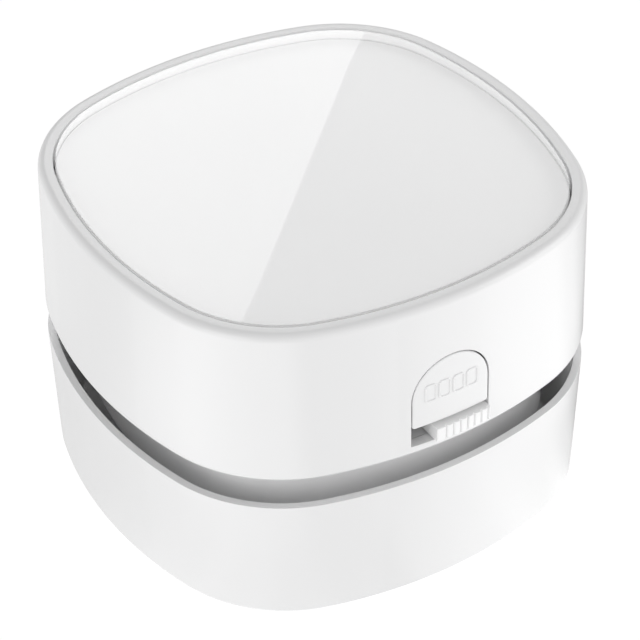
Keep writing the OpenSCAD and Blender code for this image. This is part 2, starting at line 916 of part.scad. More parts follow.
module battery_tray() {
    color("whitesmoke")
    difference() {
        union() {
            translate([-tray_x, -tray_y, tray_z])
                cube([2 * tray_x, 2 * tray_y, tray_t]);
            for (s = [-1, 1])
                translate([s * cell_x, 0, 0])
                    trough();
            // walls that tie the troughs together; the front one backs the button's spring
            for (s = [-1, 1])
                translate([-cell_x + bay_x, s * tie_y - tray_wall / 2, tray_z])
                    cube([2 * (cell_x - bay_x), tray_wall, tray_side_h]);
            translate([0, -tie_y, spring_z])
                rotate([90, 0, 0])
                    cylinder(r = 1.2, h = 2.2);
            mirrored(tray_leg_x, tray_leg_y)
                translate([0, 0, deck_top])
                    cylinder(r = boss_r + 0.4, h = tray_z - deck_top + eps);
        }
        translate([0, 0, tray_z - 1])
            cylinder(r = motor_r + 0.3, h = tray_t + tray_side_h + 2);
        // room for both cells
        for (s = [-1, 1])
            translate([s * cell_x, bay_l / 2, cell_z])
                rotate([90, 0, 0])
                    cylinder(r = cell_r + 0.1, h = bay_l);
        // slots for the bridge and for the two tabs
        translate([-cell_x, bay_l / 2 - contact_t - 0.1, cell_z - 3.1])
            cube([2 * cell_x, contact_t + 0.1, tray_end_h]);
        for (s = [-1, 1])
            translate([s * cell_x - tab_w / 2 - 0.1, -tray_y - 1, tab_z - 0.1])
                cube([tab_w + 0.2, tray_wall + 1.2, contact_t + 0.2]);
        mirrored(tray_leg_x, tray_leg_y)
            translate([0, 0, deck_top - 1])
                pilot(screw_l + 0.6);
    }
}

// Open box round one cell, with two saddles under it
module trough() {
    difference() {
        union() {
            translate([-bay_x - tray_wall, -tray_y, tray_z])
                cube([2 * (bay_x + tray_wall), 2 * tray_y, tray_side_h]);
            for (s = [-1, 1])
                translate([-bay_x + 1, s * (tray_y - tray_wall / 2) - tray_wall / 2, tray_z])
                    cube([2 * bay_x - 2, tray_wall, tray_end_h]);
        }
        translate([-bay_x, -bay_l / 2, tray_z + tray_t])
            cube([2 * bay_x, bay_l, tray_end_h]);
    }
    for (s = [-1, 1])
        translate([-bay_x, s * tray_leg_y - 1, tray_z])
            cube([2 * bay_x, 2, tray_t + 3]);
}

// AA cell along +Y with its nub forwards, from y = 0
module aa_cell() {
    rotate([-90, 0, 0])
        rotate_extrude()
            polygon(concat([[0, 0]], arc(cell_r - 0.8, 0.8, 0.8, -90, 0, 3),
                           arc(cell_r - 0.8, cell_l - 1.8, 0.8, 0, 90, 3),
                           [[2.75, cell_l - 1], [2.75, cell_l], [0, cell_l]]));
}

// The left cell's nub points to the front, the right one's to the back
module battery_left() {
    color("darkgreen")
    translate([-cell_x, bay_l / 2 - contact_t - spring_l, cell_z])
        rotate([0, 0, 180])
            aa_cell();
}

module battery_right() {
    color("darkgreen")
    translate([cell_x, -bay_l / 2 + contact_t + spring_l, cell_z])
        aa_cell();
}

module contact_plate() {
    translate([-contact_x, 0, -contact_h / 2])
        cube([2 * contact_x, contact_t, contact_h]);
}

// Front contact with a solder tab through the tray's end wall
module front_contact() {
    contact_plate();
    translate([-tab_w / 2, -tray_wall - tab_l, tab_z - cell_z])
        cube([tab_w, tray_wall + tab_l + contact_t, contact_t]);
}

module positive_contact() {
    color("silver")
    translate([-cell_x, -bay_l / 2, cell_z])
        front_contact();
}

module negative_contact() {
    color("silver")
    translate([cell_x, -bay_l / 2, cell_z])
        front_contact();
}

module bridge_contact() {
    color("silver")
    translate([0, bay_l / 2 - contact_t, cell_z]) {
        for (s = [-1, 1])
            translate([s * cell_x, 0, 0])
                contact_plate();
        translate([-cell_x, 0, -3])
            cube([2 * cell_x, contact_t, bridge_h]);
    }
}

contact_wire = 0.5;
contact_coil_r = 4.6;
button_coil_r = 2.4;                         // also the narrow end of a contact spring
contact_coil = coil(spring_l, contact_coil_r, button_coil_r, 3, contact_wire);
echo(contact_spring_gap = coil_gap(contact_coil, contact_wire));

// Cone springs behind the flat ends of the cells: right one at the front, left one at the back
module contact_springs() {
    color("silver") {
        translate([cell_x, -bay_l / 2 + contact_t, cell_z])
            tube(contact_coil, contact_wire / 2, 6, [1, 0, 0]);
        translate([-cell_x, bay_l / 2 - contact_t, cell_z])
            rotate([0, 0, 180])
                tube(contact_coil, contact_wire / 2, 6, [1, 0, 0]);
    }
}

// ---------- slide switch ----------

module switch_body() {
    color("silver")
    difference() {
        union() {
            translate([-switch_w / 2, -switch_front, pocket_z])
                cube([switch_w, switch_d, switch_h]);
            for (x = [-pin_x, 0, pin_x])
                translate([x - pin_w / 2, -switch_front + switch_d - eps, pin_z])
                    cube([pin_w, pin_l, 0.5]);
        }
        // slot that the stem slides in
        translate([-knob_rest - stem_w / 2 - gap, -switch_front - 1, stem_z - 0.3])
            cube([2 * knob_rest + stem_w + 2 * gap, stem_l, stem_h + 0.6]);
    }
}

module switch_actuator() {
    color("dimgray")
    translate([knob_rest - stem_w / 2, -half_w + knob_in - stem_in, stem_z])
        cube([stem_w, stem_in + stem_l - 1, stem_h]);
}

// Knob: its outer face follows the wall, with upright grip grooves at its right
module switch_knob() {
    left = knob_rest - knob_w / 2;
    color("white")
    difference() {
        intersection() {
            front_arc([[-knob_in - 3, knob_z], [knob_out - 0.3, knob_z], [knob_out, knob_z + 0.3],
                       [knob_out, knob_z + knob_h - 0.3], [knob_out - 0.3, knob_z + knob_h],
                       [-knob_in - 3, knob_z + knob_h]]);
            translate([left, -half_w - 5, 0])
                cube([knob_w, knob_in + 5, roof_z]);
        }
        intersection() {
            front_arc([[knob_out - 0.4, knob_z - 1], [knob_out + 1, knob_z - 1],
                       [knob_out + 1, knob_z + knob_h + 1], [knob_out - 0.4, knob_z + knob_h + 1]]);
            for (i = [0:groove_count - 1])
                translate([left + knob_w - 0.7 - i * groove_pitch, -half_w - 5, knob_z - 2])
                    cube([0.35, 10, knob_h + 4]);
        }
        translate([knob_rest - stem_w / 2, -half_w + knob_in - stem_in, stem_z])
            cube([stem_w, stem_in + 1, stem_h]);
    }
}

// ---------- release button ----------

module release_button() {
    button_z = lip_z + button_up;
    color("white")
    union() {
        intersection() {
            front_arc([[-button_t - top_lean(button_z), button_z], [-top_lean(button_z), button_z],
                       [-top_lean(roof_z), roof_z], [-button_t - top_lean(roof_z), roof_z]]);
            front_opening(lip_z + button_up - button_gap, button_gap);
        }
        // two pegs that the latch arm is pressed onto
        for (s = [-1, 1])
            translate([s * 2, -half_w + button_t - 0.5, arm_shelf_z + arm_shelf_t + 2.4])
                rotate([-90, 0, 0])
                    cylinder(r = 0.8, h = 2.4);
    }
}

// Latch arm: a plate on the button's pegs, a shelf inwards, and a leg down to the nose
module latch_arm() {
    plate_y = half_w - button_t - 0.25;
    color("whitesmoke")
    difference() {
        union() {
            translate([-arm_x, -plate_y, arm_shelf_z])
                cube([2 * arm_x, 1.2, arm_shelf_t + 4.4]);
            translate([-arm_x, -plate_y, arm_shelf_z])
                cube([2 * arm_x, plate_y - arm_y + arm_t, arm_shelf_t]);
            translate([-arm_x, -arm_y, nose_z])
                cube([2 * arm_x, arm_t, arm_top - nose_z]);
            translate([-arm_x, 0, 0])
                rotate([90, 0, 90])
                    linear_extrude(2 * arm_x)
                        polygon([[-arm_y + eps, nose_z], [-nose_y + 0.2, nose_z], [-nose_y, nose_z + 0.6],
                                 [-nose_y, nose_z + nose_h], [-arm_y + eps, nose_z + nose_h]]);
        }
        for (s = [-1, 1])
            translate([s * 2, -plate_y - 1, arm_shelf_z + arm_shelf_t + 2.4])
                rotate([-90, 0, 0])
                    cylinder(r = 0.85, h = 3);
    }
}

button_wire = 0.5;
button_spring_l = arm_y - arm_t - tie_y - tray_wall / 2;
button_coil = coil(button_spring_l, button_coil_r, button_coil_r, 4, button_wire);
echo(button_spring_gap = coil_gap(button_coil, button_wire));

module button_spring() {
    color("silver")
    translate([0, -arm_y + arm_t, spring_z])
        tube(button_coil, button_wire / 2, 6, [1, 0, 0]);
}

// ---------- leads ----------
// Routes chosen by hand, as steps from the nearer end. A lead leaves one terminal and meets the
// next one square on

function steps_from(p, steps) = [for (step = steps) p + step];

// Ends of a front contact's tab, a switch pin and a motor terminal, at the left (-1) or right (1)
function tab_end(s) = [s * cell_x, -tray_y - tab_l, tab_z + contact_t / 2];
function pin_end(s) = [s * pin_x, -switch_front + switch_d + pin_l - 0.3, pin_z + 0.5];
function terminal_end(s) = [s * terminal_x, terminal_y - 0.25, motor_top + cap_t + 0.7];

module lead(from, route, to) {
    tube(concat([from], smooth(route, 3), [to]), lead_r, 8, [0, 0.6, 0.8]);
}

module red_leads() {
    color("firebrick") {
        lead(tab_end(-1),
             concat(steps_from(tab_end(-1), [[0, -0.55, 0], [0.6, -1.85, -0.75], [3.6, -2.85, -3.15]]),
                    steps_from(pin_end(-1), [[-7.5, 0.1, 5.1], [-3.7, 0.7, 2.9], [-1.1, 0.9, 2.1],
                                             [0, 0, 0.7]])),
             pin_end(-1));
        lead(pin_end(1),
             concat(steps_from(pin_end(1), [[0, 0, 0.7], [1.3, 1.1, 2.3], [3.5, 2.1, 4.5],
                                            [3.9, 2.7, 8.5]]),
                    steps_from(terminal_end(-1), [[11, -22.95, -6.4], [4, -18.75, -3.5],
                                                  [0.4, -8.75, -2.3], [0, -2.25, 0], [0, -0.55, 0]])),
             terminal_end(-1));
    }
}

module black_lead() {
    color("dimgray")
    lead(tab_end(1),
         concat(steps_from(tab_end(1), [[0, -0.55, 0], [-1.6, -1.85, 0.85], [-7.6, -1.05, 2.85],
                                        [-12.1, 1.15, 4.85]]),
                steps_from(terminal_end(1), [[1.5, -11.75, -2.5], [0, -2.25, 0], [0, -0.55, 0]])),
         terminal_end(1));
}

// ---------- lid ----------

module clear_plate() {
    color([0.93, 0.95, 0.96, 0.5])
    slab(lid_inset, ledge_z + carrier_t, roof_z, 0.25);
}

module lid_carrier() {
    inset = ledge_end + 0.3;
    color("white")
    union() {
        slab(lid_inset, ledge_z, ledge_z + carrier_t);
        // skirt that drops inside the ledge
        ring([[-inset - 1.2, ledge_z + eps], [-inset - 1.2, ledge_z - 1.2], [-inset - 0.8, ledge_z - 1.6],
              [-inset - 0.4, ledge_z - 1.6], [-inset, ledge_z - 1.2], [-inset, ledge_z + eps]]);
    }
}

base_shell();
dust_cup();
brush_plate();
bristle_strip_1();
bristle_strip_2();
bristle_strip_3();
bristle_strip_4();
glide_pads();
brush_plate_screws();
filter_frame();
filter_pad();
top_shell();
motor_deck();
fan_plate();
fan_seal();
fan_plate_screws();
housing_screws();
tray_screws();
motor_screws();
motor_can();
motor_bushing();
motor_end_cap();
motor_terminals();
motor_shaft();
impeller();
battery_tray();
battery_left();
battery_right();
positive_contact();
negative_contact();
bridge_contact();
contact_springs();
switch_body();
switch_actuator();
switch_knob();
release_button();
latch_arm();
button_spring();
red_leads();
black_lead();
clear_plate();
lid_carrier();
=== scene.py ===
import json
import math
import random

import bmesh
import bpy
from mathutils import Matrix, Vector, noise


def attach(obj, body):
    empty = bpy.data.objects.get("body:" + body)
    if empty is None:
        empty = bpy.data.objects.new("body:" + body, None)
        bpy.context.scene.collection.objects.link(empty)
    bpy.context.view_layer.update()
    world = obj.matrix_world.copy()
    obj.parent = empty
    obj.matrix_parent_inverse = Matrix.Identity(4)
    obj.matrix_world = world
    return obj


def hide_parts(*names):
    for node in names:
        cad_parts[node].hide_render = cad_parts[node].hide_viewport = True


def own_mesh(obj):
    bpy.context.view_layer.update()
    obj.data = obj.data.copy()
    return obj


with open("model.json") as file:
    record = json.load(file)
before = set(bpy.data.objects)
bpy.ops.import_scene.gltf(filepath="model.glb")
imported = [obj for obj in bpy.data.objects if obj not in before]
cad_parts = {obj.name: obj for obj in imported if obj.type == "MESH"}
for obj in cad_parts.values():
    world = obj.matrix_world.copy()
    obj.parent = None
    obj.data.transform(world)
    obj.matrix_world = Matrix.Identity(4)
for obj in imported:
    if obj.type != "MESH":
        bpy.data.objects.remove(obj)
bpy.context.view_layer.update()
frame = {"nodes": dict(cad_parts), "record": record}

MM = 0.001
IMAGE_SIDE = 640

# ---------- sizes, in millimetres, as in the CAD ----------
# The outline is a rounded square of tangent arcs: a side arc about a centre SIDE_OFS behind the
# middle, turning ARC_TURN to each side, then a corner arc about (CORNER_OFS, CORNER_OFS).
HALF_W = 42.75
UNIT = 2.1
SIDE_OFS = 17 * UNIT
CORNER_OFS = 7 * UNIT
SIDE_R = HALF_W + SIDE_OFS
CORNER_R = SIDE_R - 25 * UNIT
ARC_TURN = math.asin(0.28)
# heights, from the desk up
FOOT_Z, FLOOR_Z, NECK_Z, RIM_Z, LIP_Z = 2, 5, 15.9, 25.9, 31.3
DECK_Z, DECK_TOP, LEDGE_Z, ROOF_Z = 32.1, 34.1, 57.0, 60.5
BASE_DRAFT, TOP_DRAFT = 0.9, 0.5
ARCH_R, ARCH_Z = 7.5, 41.9
PANEL_R, PANEL_LOW_Z, PEG_Z = ARCH_R - 0.25, 36.75, 43.5
CELL_X, CELL_Z, CELL_FLAT_Y = 21.6, 48.95, 23.25
# screws and posts: how far they stand from the middle
HOUSING_REACH, FAN_POST_REACH, BRUSH_SCREW_REACH = 42.2639, 25.25, 14
CORNERS = (45, 135, 225, 315)
POST_R, SCREW_R = 2.2, 1.1
SPRING_WIRE = 0.5

# ---------- view ----------
# The photograph's camera, found from the outline of the rims and the lid.
VIEW_AZIMUTH = math.radians(-31.37)
VIEW_ELEVATION = math.radians(37.63)
VIEW_ROLL = math.radians(-0.81)
VIEW_DISTANCE = 494.4
VIEW_TARGET = Vector((0, 0, 31.2))
FOCAL_PX = 2868.9
CENTRE_PX = (312.2, 306.8)

BACK = Vector((math.sin(VIEW_AZIMUTH) * math.cos(VIEW_ELEVATION),
               -math.cos(VIEW_AZIMUTH) * math.cos(VIEW_ELEVATION), math.sin(VIEW_ELEVATION)))
LEVEL_SIDE = Vector((0, 0, 1)).cross(BACK).normalized()
VIEW_SIDE = math.cos(VIEW_ROLL) * LEVEL_SIDE + math.sin(VIEW_ROLL) * BACK.cross(LEVEL_SIDE)
VIEW_UP = BACK.cross(VIEW_SIDE)
EYE = VIEW_TARGET + BACK * VIEW_DISTANCE


def make_camera():
    """Camera at the photograph's angle, with its off-centre framing as a small shift."""
    data = bpy.data.cameras.new("camera")
    data.sensor_width = 36
    data.lens = FOCAL_PX * data.sensor_width / IMAGE_SIDE
    data.shift_x = (IMAGE_SIDE / 2 - CENTRE_PX[0]) / IMAGE_SIDE
    data.shift_y = (CENTRE_PX[1] - IMAGE_SIDE / 2) / IMAGE_SIDE
    data.clip_start = 0.01
    data.clip_end = 20
    place = Matrix((VIEW_SIDE, VIEW_UP, BACK)).transposed().to_4x4()
    place.translation = EYE * MM
    camera = bpy.data.objects.new("camera", data)
    camera.matrix_world = place
    bpy.context.scene.collection.objects.link(camera)
    bpy.context.scene.camera = camera


# ---------- node helpers ----------
class Tree:
    """Short ways to add and join a material's or the world's nodes."""

    def __init__(self, owner):
        owner.use_nodes = True
        self.nodes = owner.node_tree.nodes
        self.links = owner.node_tree.links

    def add(self, kind, **inputs):
        """New node. A name that isn't one of its inputs is one of its settings."""
        node = self.nodes.new(kind)
        for key, value in inputs.items():
            name = key.replace("_", " ")
            if name in node.inputs:
                node.inputs[name].default_value = value
            else:
                setattr(node, key, value)
        return node

    def join(self, source, target):
        self.links.new(source, target)

    def coords(self, stretch=(1, 1, 1)):
        """Object space, so that a pattern stays on its piece."""
        coords = self.add("ShaderNodeTexCoord")
        mapping = self.add("ShaderNodeMapping", Scale=stretch)
        self.join(coords.outputs["Object"], mapping.inputs["Vector"])
        return mapping.outputs["Vector"]

    def noise(self, scale, detail=2.0, roughness=0.5, stretch=(1, 1, 1)):
        """Noise with that many features per metre."""
        node = self.add("ShaderNodeTexNoise", Scale=scale, Detail=detail, Roughness=roughness)
        self.join(self.coords(stretch), node.inputs["Vector"])
        return node.outputs["Fac"]

    def spread(self, value, low, high, start=0.3, end=0.7):
        """Carries start to end over to low to high, and holds still beyond them."""
        node = self.add("ShaderNodeMapRange", To_Min=low, To_Max=high)
        node.inputs["From Min"].default_value = start
        node.inputs["From Max"].default_value = end
        self.join(value, node.inputs["Value"])
        return node.outputs["Result"]

    def blend(self, value, low, high):
        """Colour between two, by a value from 0 to 1."""
        node = self.add("ShaderNodeMix", data_type="RGBA")
        self.join(value, node.inputs["Factor"])
        for socket in node.inputs:
            if socket.type == "RGBA":
                socket.default_value = (*(low if socket.name == "A" else high), 1)
        return [o for o in node.outputs if o.type == "RGBA"][0]

    def math(self, operation, first, second):
        """Outcome of a sum on two values, each a socket or a number."""
        node = self.add("ShaderNodeMath", operation=operation)
        for socket, value in zip(node.inputs, (first, second)):
            if isinstance(value, (int, float)):
                socket.default_value = value
            else:
                self.join(value, socket)
        return node.outputs[0]

    def levelness(self, geometry, output):
        """How level a face is: 0 on a wall, 1 on a floor."""
        split = self.add("ShaderNodeSeparateXYZ")
        self.join(geometry.outputs[output], split.inputs[0])
        return self.math("ABSOLUTE", split.outputs["Z"], 0)

    def rounded(self, radius):
        """Normal that rounds the edges of a piece straight from the CAD."""
        return self.add("ShaderNodeBevel", Radius=radius, samples=4).outputs["Normal"]

    def mix_shaders(self, share, first, second):
        node = self.add("ShaderNodeMixShader")
        for source, socket in zip((share, first, second), node.inputs):
            self.join(source, socket)
        return node.outputs[0]

    def bump(self, height, strength, distance, normal=None):
        node = self.add("ShaderNodeBump", Strength=strength, Distance=distance)
        self.join(height, node.inputs["Height"])
        if normal is not None:
            self.join(normal, node.inputs["Normal"])
        return node.outputs["Normal"]


def principled(name, **constants):
    """New material with constants on its shader's own sockets."""
    mat = bpy.data.materials.new(name)
    tree = Tree(mat)
    shader = tree.nodes["Principled BSDF"]
    for key, value in constants.items():
        shader.inputs[key.replace("_", " ")].default_value = value
    return mat, tree, shader


def tinted(colour, factor):
    return tuple(min(1.0, c * factor) for c in colour)


def plastic(name, colour, roughness, coat=0.0, drift=0.015, edge=0.0, grain=0.0):
    """Moulded plastic: slow drift of tone, uneven gloss, a faint flow waviness, soft edges on
    pieces straight from the CAD, and a spark-eroded grain where asked."""
    mat, tree, shader = principled(name, Coat_Weight=coat, Coat_Roughness=0.1, IOR=1.5)
    tone = tree.spread(tree.noise(40, 1), 0, 1, 0.2, 0.8)
    tree.join(tree.blend(tone, tinted(colour, 1 - drift), colour), shader.inputs["Base Color"])
    gloss = tree.spread(tree.noise(90, 1), roughness - 0.012, roughness + 0.012, 0, 1)
    tree.join(gloss, shader.inputs["Roughness"])
    wave = tree.noise(40, 0)
    wave.node.normalize = False     # its extremes would be cut off flat
    normal = tree.bump(wave, 0.1, 0.00001, tree.rounded(edge) if edge else None)
    if grain:
        normal = tree.bump(tree.noise(5200, 2), grain, 0.00002, normal)
    tree.join(normal, shader.inputs["Normal"])
    if coat:
        # the tool is polished on its walls and blasted on its level faces
        level = tree.levelness(tree.add("ShaderNodeNewGeometry"), "Normal")
        tree.join(tree.spread(level, coat, 0, 0.3, 0.85), shader.inputs["Coat Weight"])
    return mat


def metal(name, colour, roughness):
    """Metal with streaks drawn out along one axis and soft edges."""
    mat, tree, shader = principled(name, Metallic=1.0)
    streaks = tree.noise(900, 3, stretch=(1, 1, 12))
    stains = tree.spread(tree.noise(120, 3), 0, 1)
    tree.join(tree.blend(stains, tinted(colour, 0.86), colour), shader.inputs["Base Color"])
    gloss = tree.spread(streaks, roughness - 0.06, roughness + 0.08)
    tree.join(gloss, shader.inputs["Roughness"])
    tree.join(tree.bump(streaks, 0.12, 0.00001, tree.rounded(0.0001)), shader.inputs["Normal"])
    return mat


def clear_plastic(name):
    """Clear sheet: it lets light straight through and mirrors by Fresnel, and its side walls,
    where light gathers, look frosted."""
    mat = bpy.data.materials.new(name)
    tree = Tree(mat)
    tree.nodes.remove(tree.nodes["Principled BSDF"])
    tone = tree.spread(tree.noise(25, 2), 0, 1)
    through = tree.add("ShaderNodeBsdfTransparent")
    tree.join(tree.blend(tone, (0.99, 0.99, 0.99), (0.997, 0.997, 0.997)),
              through.inputs["Color"])
    mirror = tree.add("ShaderNodeBsdfGlossy")
    tree.join(tree.spread(tree.noise(60, 2), 0.004, 0.02), mirror.inputs["Roughness"])
    side = tree.add("ShaderNodeBsdfDiffuse")
    tree.join(tree.blend(tone, (0.94, 0.94, 0.94), (0.97, 0.97, 0.97)), side.inputs["Color"])
    # only the outside mirrors, nearly twice as much, for the sheet's two faces
    geometry = tree.add("ShaderNodeNewGeometry")
    outside = tree.math("SUBTRACT", 1.0, geometry.outputs["Backfacing"])
    both_faces = tree.math("MULTIPLY", tree.add("ShaderNodeFresnel", IOR=1.49).outputs[0], 1.8)
    face = tree.mix_shaders(tree.math("MULTIPLY", both_faces, outside), through.outputs[0],
                            mirror.outputs[0])
    upright = tree.spread(tree.levelness(geometry, "True Normal"), 0.5, 0, 0.2, 0.6)
    whole = tree.mix_shaders(upright, face, side.outputs[0])
    tree.join(whole, tree.nodes["Material Output"].inputs["Surface"])
    return mat


def cloth(name, colour):
    """Non-woven cloth: matted fibres in two directions over a soft lumpy base."""
    mat, tree, shader = principled(name, Roughness=0.95, Sheen_Weight=0.4, Sheen_Roughness=0.5)
    across = tree.noise(2600, 4, 0.7, stretch=(0.12, 1, 1))
    along = tree.noise(2600, 4, 0.7, stretch=(1, 0.12, 1))
    fibres = tree.math("MAXIMUM", across, along)
    tree.join(tree.blend(tree.spread(fibres, 0, 1, 0.45, 0.75), tinted(colour, 0.72), colour),
              shader.inputs["Base Color"])
    lumps = tree.bump(tree.noise(500, 3), 0.5, 0.0002)
    tree.join(tree.bump(fibres, 0.8, 0.0001, lumps), shader.inputs["Normal"])
    return mat


materials = {
    "white_gloss": plastic("white_gloss", (0.87, 0.87, 0.872), 0.3, coat=0.6),
    # brighter copy of white_gloss for the knob: painted light, in place of the light that the
    # proud knob catches
    "knob_white_painted_light": plastic("knob_white_painted_light", (0.96, 0.96, 0.96), 0.3, coat=0.6),
    "white_satin": plastic("white_satin", (0.92, 0.92, 0.922), 0.4),
    # brighter copy of white_satin for the carrier: painted light, in place of the light that
    # reaches it through the clear plate
    "carrier_painted_light": plastic("carrier_painted_light", (0.95, 0.95, 0.952), 0.5),
    "clear": clear_plastic("clear"),
    "cup_plastic": plastic("cup_plastic", (0.74, 0.75, 0.76), 0.22, edge=0.0002),
    "grey_plastic": plastic("grey_plastic", (0.32, 0.33, 0.34), 0.42, edge=0.0002, grain=0.4),
    "black_plastic": plastic("black_plastic", (0.02, 0.02, 0.022), 0.4, edge=0.0002, grain=0.3),
    "bristle": plastic("bristle", (0.03, 0.03, 0.032), 0.5, drift=0.4),
    "glide": plastic("glide", (0.6, 0.6, 0.59), 0.45, edge=0.0002),
    "seal_rubber": plastic("seal_rubber", (0.025, 0.025, 0.026), 0.7, drift=0.3, grain=0.6),
    "filter_cloth": cloth("filter_cloth", (0.8, 0.83, 0.85)),
    "steel": metal("steel", (0.62, 0.62, 0.63), 0.28),
    "motor_metal": metal("motor_metal", (0.6, 0.6, 0.6), 0.34),
    "brass": metal("brass", (0.75, 0.55, 0.25), 0.3),
    "cell_wrap": plastic("cell_wrap", (0.05, 0.1, 0.13), 0.3, coat=0.5, drift=0.1),
    "red_wire": plastic("red_wire", (0.5, 0.02, 0.015), 0.45, drift=0.15),
    "black_wire": plastic("black_wire", (0.012, 0.012, 0.012), 0.45, drift=0.2),
}
SLOTS = {s["node"]: s["material_slot"] for s in frame["record"]["subparts"]}


def dress_cad_nodes():
    """Gives every CAD node its slot's material. Those that no piece replaces show in it."""
    for name, node in frame["nodes"].items():
        node.data.materials.clear()
        node.data.materials.append(materials[SLOTS[name]])


# ---------- mesh helpers, in millimetres ----------
def arc(x, z, radius, start, end, steps):
    """Points from one angle to another, in degrees, both ends among them."""
    return [(x + radius * math.cos(a), z + radius * math.sin(a))
            for a in (math.radians(start + (end - start) * k / steps) for k in range(steps + 1))]


def new_solid(name, verts, faces):
    """Object of points in millimetres, with doubled points joined and faces turned outwards."""
    mesh = bpy.data.meshes.new(name)
    mesh.from_pydata([tuple(c * MM for c in v) for v in verts], [], faces)
    bm = bmesh.new()
    bm.from_mesh(mesh)
    bmesh.ops.remove_doubles(bm, verts=bm.verts, dist=1e-7)
    bmesh.ops.recalc_face_normals(bm, faces=bm.faces)
    bm.to_mesh(mesh)
    bm.free()
    obj = bpy.data.objects.new(name, mesh)
    bpy.context.scene.collection.objects.link(obj)
    return obj


def skin(rings, closed_profile, closed_round=True):
    """Faces between rings of equally many points, with flat ends where the profile is open."""
    count = len(rings[0])
    verts = [p for ring in rings for p in ring]
    faces = []
    last = len(rings) if closed_profile else len(rings) - 1
    round_steps = count if closed_round else count - 1
    for i in range(last):
        a, b = i * count, (i + 1) % len(rings) * count
        for k in range(round_steps):
            j = (k + 1) % count
            faces.append((a + k, a + j, b + j, b + k))
    if not closed_profile:
        faces.append(tuple(range(count)))
        faces.append(tuple(range((len(rings) - 1) * count, len(rings) * count)))
    if not closed_round:
        faces.append(tuple(i * count for i in range(len(rings))))
        faces.append(tuple((i + 1) * count - 1 for i in range(len(rings))))
    return verts, faces


def outline_spots(steps=24):
    """Arc centre, arc radius and angle of each place round the rounded-square outline."""
    spots = []
    for quarter in range(4):
        turn = math.radians(90 * quarter)
        side = (-SIDE_OFS * math.cos(turn), -SIDE_OFS * math.sin(turn))
        corner = (CORNER_OFS * math.sqrt(2) * math.cos(turn + math.pi / 4),
                  CORNER_OFS * math.sqrt(2) * math.sin(turn + math.pi / 4))
        for k in range(steps):
            spots.append((*side, SIDE_R, turn - ARC_TURN + 2 * ARC_TURN * k / steps))
        for k in range(steps):
            spread = math.pi / 2 - 2 * ARC_TURN
            spots.append((*corner, CORNER_R, turn + ARC_TURN + spread * k / steps))
    return spots


SPOTS = outline_spots()


def loft(name, profile, closed=True):
    """Sweeps (distance outwards, height) points round the outline."""
    rings = [[(cx + (r + x) * math.cos(a), cy + (r + x) * math.sin(a), z)
              for cx, cy, r, a in SPOTS] for x, z in profile]
    return new_solid(name, *skin(rings, closed))


def circle(radius, steps):
    turns = [2 * math.pi * k / steps for k in range(steps)]
    return [(radius * math.cos(a), radius * math.sin(a)) for a in turns]


def turned(name, profile, closed=True, steps=96, centre=(0, 0)):
    """Turns (radius, height) points about an upright axis."""
    rings = [[(centre[0] + x, centre[1] + y, z) for x, y in circle(r, steps)] for r, z in profile]
    return new_solid(name, *skin(rings, closed))


def disc(x, y, radius, z0, z1, radius_top=None, steps=48):
    """Upright round bar, or cone where it has a second radius."""
    top = radius if radius_top is None else radius_top
    return turned("disc", [(radius, z0), (top, z1)], False, steps, (x, y))


def prism(outline, z0, z1):
    """Flat outline drawn up from one height to another."""
    rings = [[(x, y, z) for x, y in outline] for z in (z0, z1)]
    return new_solid("prism", *skin(rings, False))


def block(x0, x1, y0, y1, z0, z1):
    return prism([(x0, y0), (x1, y0), (x1, y1), (x0, y1)], z0, z1)


def bar(angle, start, end, width, z0, z1):
    """Upright web that runs straight outwards at an angle."""
    along = (math.cos(angle), math.sin(angle))
    side = (-along[1] * width / 2, along[0] * width / 2)
    return prism([(start * along[0] - side[0], start * along[1] - side[1]),
                  (end * along[0] - side[0], end * along[1] - side[1]),
                  (end * along[0] + side[0], end * along[1] + side[1]),
                  (start * along[0] + side[0], start * along[1] + side[1])], z0, z1)


def sweep(path, radius, sides=12):
    """Tube along a path of points, capped, without twist. The radius is a number, or a function
    of how far along the path it is, from 0 to 1."""
    path = [Vector(p) for p in path]
    rings = []
    across = None
    for i, p in enumerate(path):
        along = (path[min(i + 1, len(path) - 1)] - path[max(i - 1, 0)]).normalized()
        if across is None:
            across = along.orthogonal().normalized()
        across = (across - across.dot(along) * along).normalized()
        other = along.cross(across)
        r = radius(i / (len(path) - 1)) if callable(radius) else radius
        rings.append([tuple(p + r * (math.cos(2 * math.pi * k / sides) * across
                                     + math.sin(2 * math.pi * k / sides) * other))
                      for k in range(sides)])
    return skin(rings, False)


def gathered(name, parts):
    """One solid from several lists of vertices and faces."""
    verts, faces = [], []
    for part_verts, part_faces in parts:
        start = len(verts)
        verts += part_verts
        faces += [tuple(start + i for i in face) for face in part_faces]
    return new_solid(name, verts, faces)


def apply_modifiers(obj):
    """Keeps the mesh as its modifiers leave it, and drops them."""
    bpy.context.view_layer.update()
    done = obj.evaluated_get(bpy.context.evaluated_depsgraph_get())
    mesh = bpy.data.meshes.new_from_object(done)
    obj.modifiers.clear()
    obj.data = mesh


def combine(obj, operation, *tools):
    """Exact boolean with each tool in turn. The tools are used up."""
    for tool in tools:
        step = obj.modifiers.new("step", "BOOLEAN")
        step.solver = "EXACT"
        step.operation = operation
        step.object = tool
        apply_modifiers(obj)
        bpy.data.objects.remove(tool)


def cut(obj, *tools):
    combine(obj, "DIFFERENCE", *tools)


def weld(obj, *tools):
    combine(obj, "UNION", *tools)


def around(reach, degrees):
    """Places at one distance from the middle."""
    return [(reach * math.cos(math.radians(a)), reach * math.sin(math.radians(a)))
            for a in degrees]


